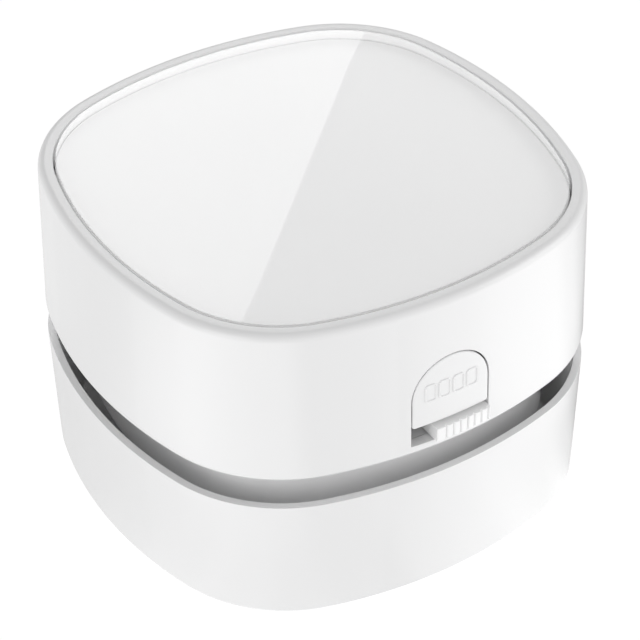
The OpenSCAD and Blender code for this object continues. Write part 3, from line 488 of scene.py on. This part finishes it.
def finish(obj, name, body, slot, nodes=(), edge=0.0, smooth=35):
    """Rounds the sharp edges, smooths the rest, and puts the piece on its body."""
    if edge:
        rounding = obj.modifiers.new("edges", "BEVEL")
        rounding.width = edge * MM
        rounding.segments = 2
        rounding.limit_method = "ANGLE"
        rounding.angle_limit = math.radians(40)
        rounding.use_clamp_overlap = False
        apply_modifiers(obj)
    obj.data.polygons.foreach_set("use_smooth", [True] * len(obj.data.polygons))
    obj.data.set_sharp_from_angle(angle=math.radians(smooth))
    weigh = obj.modifiers.new("normals", "WEIGHTED_NORMAL")
    weigh.keep_sharp = True
    apply_modifiers(obj)
    obj.name = name
    obj.data.name = name
    obj.data.materials.clear()
    obj.data.materials.append(materials[slot])
    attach(obj, body)
    if nodes:
        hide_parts(*nodes)
    return obj


# ---------- shells ----------
def lean(z):
    """How far the upper shell's wall has drawn in at a height."""
    return TOP_DRAFT * (z - LIP_Z) / (ROOF_Z - LIP_Z)


def opening(floor_z):
    """Arch over slot, as a bar that runs through the front wall."""
    top = [(ARCH_R * math.cos(math.pi * k / 40), ARCH_Z + ARCH_R * math.sin(math.pi * k / 40))
           for k in range(41)]
    section = [(ARCH_R, floor_z)] + top + [(-ARCH_R, floor_z)]
    rings = [[(x, y, z) for x, z in section] for y in (-HALF_W - 10, -HALF_W + 8)]
    return new_solid("opening", *skin(rings, False))


def make_top_shell():
    """Drafted wall with a rounded lip and edge, a flat rim and the ledge that carries the lid. A
    screw post stands in each corner, tied to the wall by a web."""
    lip_r, edge_r, edge_in, rim_in, ledge_in = 1.2, 1.4, 1.9, 3.1, 5.7
    profile = [(-2.0, LIP_Z)] + arc(-lip_r, LIP_Z + lip_r, lip_r, -90, 0, 8)
    profile += [(-lean(z), z) for z in (38, 44, 50, 55)]
    profile += arc(-edge_in, ROOF_Z - edge_r, edge_r, 0, 90, 10)
    profile += [(-rim_in, ROOF_Z), (-rim_in, LEDGE_Z), (-ledge_in, LEDGE_Z),
                (-ledge_in, LEDGE_Z - 1.6), (-2.5, LEDGE_Z - 4.8)]
    shell = loft("top_shell", profile)
    post_top, web_end, web_t = DECK_TOP + 5.4, 45.2389, 1.6
    for (x, y), angle in zip(around(HOUSING_REACH, CORNERS), CORNERS):
        weld(shell, disc(x, y, POST_R, DECK_TOP, post_top),
             bar(math.radians(angle), HOUSING_REACH, web_end, web_t, DECK_TOP, post_top))
    cut(shell, opening(LIP_Z + 1.9))
    finish(shell, "upper_shell", "top_unit", "white_gloss", ["top_shell"], edge=0.14)


def make_base_shell():
    """Bowl with a rounded foot, a drafted wall and a flat rim. Inside is the collar for the dust
    cup; underneath are the brush plate's recess, the inlet, and holes for screws and pads."""
    foot_r, rim_w, middle, under = 0.8, 1.36, -10, 1
    profile = [(middle, FOOT_Z)] + arc(-1.7, FOOT_Z + foot_r, foot_r, -90, 0, 6)
    profile += [(-BASE_DRAFT * (RIM_Z - z) / (RIM_Z - FOOT_Z), z) for z in (8, 14, 20)]
    profile += [(0, RIM_Z), (-rim_w, RIM_Z), (-1.56, RIM_Z - 0.8), (-3.3, FLOOR_Z + 1),
                (-3.6, FLOOR_Z + 0.3), (-4.3, FLOOR_Z), (middle, FLOOR_Z)]
    shell = loft("base_shell", profile, closed=False)
    weld(shell, turned("collar", [(29.55, 4.9), (30.75, 4.9), (30.75, 8), (29.55, 8)]))
    plate_r, plate_top, inlet_r, pad_at, pad_r, pad_top = 26.2, 3.8, 9.4, 24, 3.6, 2.8
    cut(shell, disc(0, 0, plate_r, under, plate_top, steps=96), disc(0, 0, inlet_r, under, 7))
    cut(shell, *[disc(x, y, SCREW_R, under, 6, steps=24)
                 for x, y in around(BRUSH_SCREW_REACH, (90, 210, 330))])
    cut(shell, *[disc(i * pad_at, j * pad_at, pad_r, under, pad_top)
                 for i in (-1, 1) for j in (-1, 1)])
    finish(shell, "lower_shell", "base", "white_gloss", ["base_shell"], edge=0.12)


def make_deck():
    """Cover of the upper unit's underside, with the neck, the motor's well, the fan plate's
    posts, the screws' holes, and the gaps for the latch and the switch."""
    middle, side_in, under, over = -13, 2.25, 31, 35
    deck = loft("deck", [(middle, DECK_Z), (-side_in, DECK_Z), (-side_in, DECK_TOP),
                         (middle, DECK_TOP)], closed=False)
    neck_out, neck_in, tip, overlap = 6.7, 8.1, 0.4, 0.1
    neck = [(-neck_in, DECK_Z + overlap), (-neck_in, NECK_Z + tip), (-7.7, NECK_Z),
            (-7.1, NECK_Z), (-neck_out, NECK_Z + tip), (-neck_out, DECK_Z + overlap)]
    well_out, well_in, shaft_r = 13.3, 12.1, 3.1
    weld(deck, loft("neck", neck),
         disc(0, 0, well_out, DECK_TOP - 0.5, DECK_TOP + 5, steps=96))
    weld(deck, *[disc(x, y, POST_R, 25.8, DECK_Z + 0.5)
                 for x, y in around(FAN_POST_REACH, CORNERS)])
    cut(deck, disc(0, 0, well_in, DECK_TOP, DECK_TOP + 6, steps=96),
        disc(0, 0, shaft_r, under, over))
    for x in (-8, 8):       # the motor's screws are countersunk
        cut(deck, disc(x, 0, SCREW_R, under, over, steps=24),
            disc(x, 0, 1.7, DECK_Z - 0.05, DECK_Z + 1.1, SCREW_R, steps=24))
    for x, y in around(HOUSING_REACH, CORNERS):
        cut(deck, disc(x, y, SCREW_R, 32, over, steps=24),
            disc(x, y, 1.8, under, 33.2, steps=24))
    cut(deck, *[disc(i * CELL_X, j * 14, SCREW_R, under, over, steps=24)
                for i in (-1, 1) for j in (-1, 1)])
    cut(deck, block(-4, 4, -32.75, -29.35, under, over), block(-8, 8, -42.75, -33.65, 33, over))
    finish(deck, "deck_and_neck", "top_unit", "white_satin", ["motor_deck"], edge=0.12)


def make_lid():
    """Clear plate with a rounded edge, over the white carrier with its skirt."""
    middle, side_in, plate_low, plate_edge = -13, 3.4, 58.55, 0.25
    plate = [(middle, plate_low), (-side_in, plate_low)]
    plate += arc(-side_in - plate_edge, ROOF_Z - plate_edge, plate_edge, 0, 90, 4)
    plate += [(middle, ROOF_Z)]
    finish(loft("plate", plate, closed=False), "top_plate", "lid", "clear", ["clear_plate"])
    bevel, top = 0.1, 58.5
    carrier = loft("carrier", [(middle, LEDGE_Z), (-3.5, LEDGE_Z), (-side_in, LEDGE_Z + bevel),
                               (-side_in, 58.4), (-3.5, top), (middle, top)], closed=False)
    weld(carrier, loft("skirt", [(-7.2, LEDGE_Z + bevel), (-7.2, 55.8), (-6.8, 55.4),
                                 (-6.4, 55.4), (-6.0, 55.8), (-6.0, LEDGE_Z + bevel)]))
    finish(carrier, "lid_base", "lid", "white_satin", ["lid_carrier"], edge=0.08)
    # the carrier's brighter white is painted light, for the light through the clear plate
    carrier.data.materials[0] = materials["carrier_painted_light"]


# ---------- button and knob ----------
def button_face(x, z):
    """Place of the button's face, flush with the wall."""
    return -(math.sqrt((SIDE_R - lean(z)) ** 2 - x * x) - SIDE_OFS)


def tactile_bar(centre_x, centre_z, width=2.0, height=3.2):
    """Raised outline of a rounded bar that follows the button's face."""
    corner, stroke, proud, sunk = 0.5, 0.32, 0.2, 0.06
    path = []
    for sign_x, sign_z, start in ((1, 1, 0), (-1, 1, 90), (-1, -1, 180), (1, -1, 270)):
        cx, cz = sign_x * (width / 2 - corner), sign_z * (height / 2 - corner)
        for k in range(9):
            a = math.radians(start + 90 * k / 8)
            path.append((cx + corner * math.cos(a), cz + corner * math.sin(a),
                         math.cos(a), math.sin(a)))
    rings = []
    for k in range(9):
        across = stroke / 2 * math.cos(math.pi * k / 8)
        out = -sunk + (proud + sunk) * math.sin(math.pi * k / 8) ** 0.7
        rings.append([(centre_x + px + nx * across,
                       button_face(centre_x + px + nx * across, centre_z + pz) - out,
                       centre_z + pz + nz * across) for px, pz, nx, nz in path])
    return skin(rings, True)


def panel_outline():
    """Arch with straight sides and a level lower edge, with points spread evenly."""
    radius, low, corner = PANEL_R, PANEL_LOW_Z, 0.35
    outline = arc(0, ARCH_Z, radius, 0, 180, 48)
    outline += [(-radius, ARCH_Z - k) for k in range(1, 5)]
    outline += arc(corner - radius, low + corner, corner, 180, 270, 5)
    outline += [(corner - radius + (radius - corner) * k / 8, low) for k in range(1, 16)]
    outline += arc(radius - corner, low + corner, corner, -90, 0, 5)
    return outline + [(radius, ARCH_Z - k) for k in range(4, 0, -1)]


def make_button():
    """Crowned panel as rings that shrink towards its middle, so that its face stays smooth, with
    the two pegs behind it and the four tactile bars."""
    outline = panel_outline()
    middle_z, thick, edge = 42.2, 1.8, 0.2

    def ring(scale, depth):
        points = [(x * scale, middle_z + (z - middle_z) * scale) for x, z in outline]
        return [(x, button_face(x, z) + depth, z) for x, z in points]

    rings = [ring(k, thick) for k in (0.03, 0.4, 0.8, 1)]
    rings += [ring(1 - edge / PANEL_R * (1 - math.cos(a)), edge - edge * math.sin(a))
              for a in [math.pi / 2 * k / 5 for k in range(6)]]
    rings += [ring(k, 0) for k in (0.93, 0.85, 0.75, 0.62, 0.48, 0.33, 0.18, 0.03)]
    button = new_solid("button", *skin(rings, False))
    finish(button, "push_panel", "button", "white_gloss", ["release_button"], smooth=50)
    pegs = [skin([[(peg_x + x, y, PEG_Z + z) for x, z in circle(r, 24)]
                  for r, y in ((0.8, -41.2), (0.8, -39.25), (0.6, -39.05))], False)
            for peg_x in (-2, 2)]
    finish(gathered("pegs", pegs), "panel_pegs", "button", "white_gloss")
    marks = gathered("marks", [tactile_bar(x, 43.1) for x in (-4.0, -1.35, 1.3, 3.95)])
    finish(marks, "tactile_bars", "button", "white_gloss")


def make_knob():
    """Slide knob that stands proud of the wall, with seven fine grooves across its front and a
    pocket for the switch's lever behind."""
    left, right, back, low, high, proud = -3.4, 7.2, -38.65, 33.4, 36.0, 1.0
    groove_from, groove_step, groove_count = 6.5, 1.38, 7
    groove = ((0, 0.92), (0.04, 0.66), (0.12, 0.6), (0.23, 0.6), (0.31, 0.66), (0.35, 0.92))

    def face(x, out=proud):
        return -(math.sqrt((SIDE_R + out) ** 2 - x * x) - SIDE_OFS)

    front = [(left + 0.42 * k, face(left + 0.42 * k)) for k in range(4)]
    for i in reversed(range(groove_count)):
        x = groove_from - groove_step * i
        front.append((x - 0.08, face(x - 0.08)))
        front += [(x + across, face(x, out)) for across, out in groove]
        rib = [x + 0.43 + 0.17 * k for k in range(5)]
        front += [(r, face(r)) for r in rib if r < min(x + 1.25, right - 0.1)]
    front.append((right, face(right)))
    knob = prism(front + [(right, back), (left, back)], low, high)
    lever_x, lever_w = 1.9, 0.8
    cut(knob, block(lever_x - lever_w, lever_x + lever_w, -39.75, -38, 34.1, 35.3))
    finish(knob, "slide_knob", "switch", "white_gloss", ["switch_knob"], edge=0.1, smooth=50)
    # the knob's brighter white is painted light on the same white plastic
    knob.data.materials[0] = materials["knob_white_painted_light"]


# ---------- soft and wound pieces ----------
def make_bristles():
    """Four strips: a slice of backing each, with five dense rows of fine tapered strands."""
    chance = random.Random(7)
    middle_r, root_z, row_step, row_count, row_strands = 22, 2.2, 0.55, 5, 76
    gap = 0.3 / middle_r
    sweep_angle = math.pi / 2 - 2 * gap
    backing = [(20.5, 2.1), (20.6, 2.0), (23.4, 2.0), (23.5, 2.1), (23.5, 2.6), (20.5, 2.6)]
    steps, strand_steps = 24, 4
    for quarter in range(4):
        start = math.pi / 2 * quarter + gap
        rings = [[(r * math.cos(start + sweep_angle * k / steps),
                   r * math.sin(start + sweep_angle * k / steps), z)
                  for k in range(steps + 1)] for r, z in backing]
        parts = [skin(rings, True, False)]
        for row in range(row_count):
            for k in range(row_strands):
                a = start + sweep_angle * (k + 0.25 + 0.5 * (row % 2)) / row_strands
                r = middle_r + (row - 2) * row_step + chance.uniform(-0.12, 0.12)
                out, turn = chance.uniform(-0.25, 0.3), chance.uniform(-0.35, 0.35)
                tip = chance.uniform(0.2, 0.36)
                path = []
                for i in range(strand_steps + 1):
                    t = i / strand_steps
                    rr = r + out * t * t
                    aa = a + turn * t * t / r
                    path.append((rr * math.cos(aa), rr * math.sin(aa),
                                 root_z + (tip - root_z) * t))
                parts.append(sweep(path, lambda t: 0.11 - 0.04 * t, 5))
        finish(gathered("strip", parts), f"bristle_row_{quarter + 1}", "base", "bristle",
               [f"bristle_strip_{quarter + 1}"], smooth=60)


def make_filter_pad():
    """Felted disc with soft edges and an uneven surface."""
    inner, outer, low, high, edge, steps = 4.45, 26.1, 19.6, 20.8, 0.3, 180
    section = [(inner + edge, low), (outer - edge, low)]
    section += arc(outer - edge, low + edge, edge, -70, 0, 3)
    section += arc(outer - edge, high - edge, edge, 0, 90, 4)
    section += [(outer - edge - (outer - inner - 2 * edge) * k / 24, high) for k in range(1, 24)]
    section += arc(inner + edge, high - edge, edge, 90, 180, 4)
    section += arc(inner + edge, low + edge, edge, 180, 250, 3)
    rings = []
    for r, z in section:
        ring = []
        for x, y in circle(r, steps):
            spot = Vector((x, y, z))
            rough = 0.09 * noise.noise(spot * 0.9) + 0.06 * noise.noise(spot * 3.1)
            ring.append((x, y, z + min(rough, 0.0) if z > 20.5 else z - min(rough, 0.0)))
        rings.append(ring)
    pad = new_solid("pad", *skin(rings, True))
    finish(pad, "felt_disc", "filter", "filter_cloth", ["filter_pad"], smooth=80)


def make_seal():
    """Rubber ring with a rounded foot and a soft lip that meets the cup's rim."""
    section = [(27.45, 24.3), (27.6, 24.5), (29.3, 24.5), (29.45, 24.35), (29.45, 23.85),
               (29.38, 23.6), (29.2, 23.36), (28.9, 23.3), (28.3, 23.3), (28.1, 23.4),
               (27.8, 23.65), (27.5, 23.8)]
    finish(turned("seal", section, steps=160), "rubber_ring", "top_unit", "seal_rubber",
           ["fan_seal"], smooth=50)


def coil(length, start_r, end_r, turns):
    """Points of a coil along +Y, straight for one wire thickness at both ends."""
    steps = 28
    count = turns * steps
    run = length - 2 * SPRING_WIRE
    path = [(start_r, 0, 0)]
    for i in range(count + 1):
        a = 2 * math.pi * i / steps
        r = start_r + (end_r - start_r) * i / count
        path.append((r * math.cos(a), SPRING_WIRE + run * i / count, r * math.sin(a)))
    path.append((end_r, length, 0))
    return path


def make_springs():
    """Conical spring behind each cell's flat end, and the button's return spring."""
    wire_r, cone_l = SPRING_WIRE / 2, 4
    cone = coil(cone_l, 4.6, 2.4, 3)
    tail_y = CELL_FLAT_Y + cone_l
    right = [(CELL_X + x, -tail_y + y, CELL_Z + z) for x, y, z in cone]
    left = [(-CELL_X - x, tail_y - y, CELL_Z + z) for x, y, z in cone]
    finish(gathered("cones", [sweep(right, wire_r), sweep(left, wire_r)]), "cone_springs",
           "top_unit", "steel", ["contact_springs"], smooth=60)
    path = [(x, -31.35 + y, 44.5 + z) for x, y, z in coil(6.15, 2.4, 2.4, 4)]
    spring = finish(gathered("coil", [sweep(path, wire_r)]), "return_spring", "top_unit",
                    "steel", ["button_spring"], smooth=60)
    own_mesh(spring)


def smooth_path(points, steps=10):
    """Curve through all the points."""
    points = [Vector(p) for p in points]
    path = []
    for i in range(len(points) - 1):
        a, b = points[max(i - 1, 0)], points[i]
        c, d = points[i + 1], points[min(i + 2, len(points) - 1)]
        for k in range(steps):
            t = k / steps
            path.append(0.5 * (2 * b + (c - a) * t + (2 * a - 5 * b + 4 * c - d) * t * t
                               + (3 * b - a - 3 * c + d) * t * t * t))
    return path + [points[-1]]


def steps_from(point, steps):
    """Places given by how far they are from one point."""
    return [tuple(p + s for p, s in zip(point, step)) for step in steps]


def lead(start, route, end):
    """Insulated stretch of one lead along its route from terminal to terminal."""
    return sweep([start] + [tuple(p) for p in smooth_path(route)] + [end], 0.6, 14)


def make_leads():
    """Red leads from the left cell by way of the switch to the motor, the black lead from the
    right cell to the motor, and the solder on the tabs that show."""
    tab_l, tab_r = (-CELL_X, -30.55, 47.15), (CELL_X, -30.55, 47.15)
    pin_l, pin_r = (-4.5, -34.15, 35.5), (4.5, -34.15, 35.5)
    end_l, end_r = (-5, -7.25, 55.9), (5, -7.25, 55.9)
    to_switch = steps_from(tab_l, [(0, -0.55, 0), (0.6, -1.85, -0.75), (3.6, -2.85, -3.15)])
    to_switch += steps_from(pin_l, [(-7.5, 0.1, 5.1), (-3.7, 0.7, 2.9), (-1.1, 0.9, 2.1),
                                    (0, 0, 0.7)])
    to_motor = steps_from(pin_r, [(0, 0, 0.7), (1.3, 1.1, 2.3), (3.5, 2.1, 4.5),
                                  (3.9, 2.7, 8.5)])
    to_motor += steps_from(end_l, [(11, -22.95, -6.4), (4, -18.75, -3.5), (0.4, -8.75, -2.3),
                                   (0, -2.25, 0), (0, -0.55, 0)])
    back = steps_from(tab_r, [(0, -0.55, 0), (-1.6, -1.85, 0.85), (-7.6, -1.05, 2.85),
                              (-12.1, 1.15, 4.85)])
    back += steps_from(end_r, [(1.5, -11.75, -2.5), (0, -2.25, 0), (0, -0.55, 0)])
    red = [lead(tab_l, to_switch, pin_l), lead(pin_r, to_motor, end_l)]
    finish(gathered("red", red), "red_leads_pair", "top_unit", "red_wire", ["red_leads"],
           smooth=60)
    finish(gathered("black", [lead(tab_r, back, end_r)]), "black_lead_single", "top_unit",
           "black_wire", ["black_lead"], smooth=60)
    solder = [sweep([(x, y, z), (x, y - 0.3, z)], 0.75, 14)
              for x, y, z in (tab_l, tab_r, end_l, end_r)]
    finish(gathered("solder", solder), "solder_joints", "top_unit", "steel", smooth=60)


# ---------- cells ----------
def cell_part(section, side):
    """Turns (radius, distance from the flat end) points about one cell's own axis."""
    rings = [[(side * CELL_X + x, side * (d - CELL_FLAT_Y), CELL_Z + z) for x, z in circle(r, 72)]
             for r, d in section]
    return skin(rings, False)


def make_cells():
    """Wrap shrunk over the cell's shoulders, with bare steel ends and nub."""
    core_r, shoulder_r = 6.65, 0.6
    wrap = [(5.9, 0.12), (6.7, 0.12)] + arc(core_r, 0.72, shoulder_r, -90, 0, 5)
    wrap += arc(core_r, 48.88, shoulder_r, 0, 90, 5) + [(5.6, 49.42)]
    ends = [(5.95, 0.0), (6.0, 0.25), (6.0, 0.3), (2.0, 0.4), (2.0, 49.0), (5.5, 49.2),
            (3.1, 49.35), (2.75, 49.6), (2.75, 50.3), (2.55, 50.5)]
    for side, name in ((-1, "battery_left"), (1, "battery_right")):
        finish(gathered("wrap", [cell_part(wrap, side)]), f"{name}_wrap", "top_unit",
               "cell_wrap", [name], smooth=50)
        finish(gathered("ends", [cell_part(ends, side)]), f"{name}_ends", "top_unit", "steel",
               smooth=35)


# ---------- floor, world, cards and lamps ----------
HORIZON, ZENITH = 1.15, 0.22
TABLE_GLOW = 1.0
TABLE_WHITE = 1.12
GLOW_SHARE = 0.8
# What the glossy walls and edges mirror in the table: azimuth from -Y towards +X in degrees, and
# brightness, close to the object and further out.
MIRRORS_NEAR = ((-180, 0.8), (180, 0.5), (-125, 0.8), (-102, 0.8), (-91, 0.9), (-68, 1.2),
                (-56, 1.5), (-45, 1.5), (-34, 1.1), (-21, 0.7), (-10, 0.7), (-2, 1.2), (13, 1.6),
                (25, 1.9), (40, 1.5), (54, 0.8), (67, 0.4), (79, 0.3), (91, 0.35))
MIRRORS_FAR = ((-180, 0.9), (180, 0.5), (-148, 1.0), (-120, 0.85), (-77, 2.3), (-34, 1.8),
               (-20, 0.7), (-6, 0.7), (23, 1.8), (37, 2.4), (50, 2.3), (70, 1.3), (85, 0.75),
               (95, 0.6), (130, 0.5))
MIRRORS_BRIGHTEST = 3
NEAR_END, FAR_START = 0.06, 0.085       # metres from the middle of the table
CARD_DISTANCE = 700                     # millimetres behind the object
LAMP_ELEVATION, LAMP_DISTANCE, LAMP_SIZE = 20, 1.0, 0.6     # degrees, metres, metres


def mirror_ramp(tree, turn, levels_round):
    """Brightness by the direction from the object, given as a share of a whole turn."""
    ramp = tree.add("ShaderNodeValToRGB")
    tree.join(turn, ramp.inputs[0])
    ramp.color_ramp.interpolation = "EASE"
    stops = ramp.color_ramp.elements
    for i, (azimuth, level) in enumerate(levels_round):
        stop = stops[i] if i < 2 else stops.new(1.0)
        stop.position = (azimuth + 180) / 360
        stop.color = (*[level / MIRRORS_BRIGHTEST] * 3, 1)
    return ramp.outputs[0]


def make_floor():
    """Glowing white table: white to the camera but for the object's faint shadow, white in
    reflections, and a soft light from below on the object."""
    bpy.ops.mesh.primitive_plane_add(size=6, location=(0, 0, 0))
    floor = bpy.context.object
    floor.name = "floor"
    mat, tree, shader = principled("floor", Roughness=0.8)
    shader.inputs["Base Color"].default_value = (0.9, 0.9, 0.9, 1)
    path = tree.add("ShaderNodeLightPath")
    reflected = tree.math("MAXIMUM", path.outputs["Is Glossy Ray"],
                          path.outputs["Is Transmission Ray"])
    # softboxes and a flag that the glossy table mirrors, by the direction from the object
    split = tree.add("ShaderNodeSeparateXYZ")
    tree.join(tree.coords(), split.inputs[0])
    forward = tree.math("MULTIPLY", split.outputs["Y"], -1)
    turn = tree.math("ARCTAN2", split.outputs["X"], forward)
    turn = tree.spread(turn, 0, 1, -math.pi, math.pi)
    length = tree.add("ShaderNodeVectorMath", operation="LENGTH")
    tree.join(tree.coords(), length.inputs[0])
    mirrors = tree.add("ShaderNodeMix", data_type="FLOAT")
    tree.join(tree.spread(length.outputs["Value"], 0, 1, NEAR_END, FAR_START),
              mirrors.inputs["Factor"])
    tree.join(mirror_ramp(tree, turn, MIRRORS_NEAR), mirrors.inputs["A"])
    tree.join(mirror_ramp(tree, turn, MIRRORS_FAR), mirrors.inputs["B"])
    mirrored = tree.math("MULTIPLY", mirrors.outputs["Result"], MIRRORS_BRIGHTEST)
    surface = shader.outputs[0]
    for share, strength in ((path.outputs["Is Camera Ray"], TABLE_WHITE), (reflected, mirrored),
                            (path.outputs["Is Diffuse Ray"], TABLE_GLOW)):
        glow = tree.add("ShaderNodeEmission", Color=(1, 1, 1, 1))
        if isinstance(strength, float):
            glow.inputs["Strength"].default_value = strength
        else:
            tree.join(strength, glow.inputs["Strength"])
        surface = tree.mix_shaders(tree.math("MULTIPLY", share, GLOW_SHARE), surface,
                                   glow.outputs[0])
    tree.join(surface, tree.nodes["Material Output"].inputs["Surface"])
    floor.data.materials.append(mat)


def make_world():
    """White to the camera and in reflections. On the object it is bright at the horizon and
    dim overhead, as between large upright softboxes."""
    world = bpy.data.worlds.new("studio")
    bpy.context.scene.world = world
    tree = Tree(world)
    back = tree.nodes["Background"]
    back.inputs["Color"].default_value = (1, 1, 1, 1)
    path = tree.add("ShaderNodeLightPath")
    seen = tree.math("MAXIMUM", path.outputs["Is Camera Ray"],
                     tree.math("MAXIMUM", path.outputs["Is Glossy Ray"],
                               path.outputs["Is Transmission Ray"]))
    coords = tree.add("ShaderNodeTexCoord")
    split = tree.add("ShaderNodeSeparateXYZ")
    tree.join(coords.outputs["Generated"], split.inputs[0])
    level = tree.spread(split.outputs["Z"], HORIZON, ZENITH, 0, 1)
    mix = tree.add("ShaderNodeMix", data_type="FLOAT")
    tree.join(seen, mix.inputs["Factor"])
    tree.join(level, mix.inputs["A"])
    mix.inputs["B"].default_value = 1.0
    tree.join(mix.outputs["Result"], back.inputs["Strength"])


def mirrored_spot(px, py):
    """Where the camera's ray through a pixel, mirrored by the top plate, meets an upright plane
    behind the object."""
    ray = (VIEW_SIDE * (px - CENTRE_PX[0]) - VIEW_UP * (py - CENTRE_PX[1])
           - BACK * FOCAL_PX).normalized()
    hit = EYE + ray * ((ROOF_Z - EYE.z) / ray.z)
    ray.z = -ray.z
    away = Vector((-BACK.x, -BACK.y, 0)).normalized()
    return hit + ray * ((CARD_DISTANCE - hit.dot(away)) / ray.dot(away))


def make_card(name, pixels, strength):
    """Glowing card that only reflections show, placed by the pixels that it covers."""
    corners = [tuple(mirrored_spot(x, y) * MM) for x, y in pixels]
    mesh = bpy.data.meshes.new(name)
    mesh.from_pydata(corners, [], [(0, 1, 2, 3)])
    card = bpy.data.objects.new(name, mesh)
    bpy.context.scene.collection.objects.link(card)
    mat = bpy.data.materials.new(name)
    tree = Tree(mat)
    tree.nodes.remove(tree.nodes["Principled BSDF"])
    glow = tree.add("ShaderNodeEmission", Strength=strength)
    tree.join(glow.outputs[0], tree.nodes["Material Output"].inputs["Surface"])
    mesh.materials.append(mat)
    card.visible_camera = False
    card.visible_diffuse = False
    card.visible_transmission = False
    card.visible_shadow = False


def make_lamp(name, azimuth, power):
    """Square softbox that faces the object. Azimuth is from -Y towards +X, in degrees."""
    azimuth, elevation = math.radians(azimuth), math.radians(LAMP_ELEVATION)
    toward = Vector((math.sin(azimuth) * math.cos(elevation),
                     -math.cos(azimuth) * math.cos(elevation), math.sin(elevation)))
    data = bpy.data.lights.new(name, "AREA")
    data.size = LAMP_SIZE
    data.energy = power
    lamp = bpy.data.objects.new(name, data)
    lamp.location = VIEW_TARGET * MM + toward * LAMP_DISTANCE
    lamp.rotation_euler = toward.to_track_quat("Z", "Y").to_euler()
    bpy.context.scene.collection.objects.link(lamp)


# ---------- the scene ----------
make_camera()
make_floor()
make_world()
# the two cards leave the slanting edge between them that the top plate shows
make_card("left_card", [(400, -60), (225, 368), (-300, 368), (-300, -60)],
          strength=4.2)
make_card("right_card", [(400, -60), (225, 368), (900, 368), (900, -60)],
          strength=3.2)
make_lamp("right_front", azimuth=55, power=2.4)
make_lamp("left", azimuth=-70, power=1.5)

dress_cad_nodes()
make_top_shell()
make_base_shell()
make_deck()
make_lid()
make_button()
make_knob()
make_bristles()
make_filter_pad()
make_seal()
make_springs()
make_leads()
make_cells()

bpy.context.scene.view_settings.view_transform = "Standard"
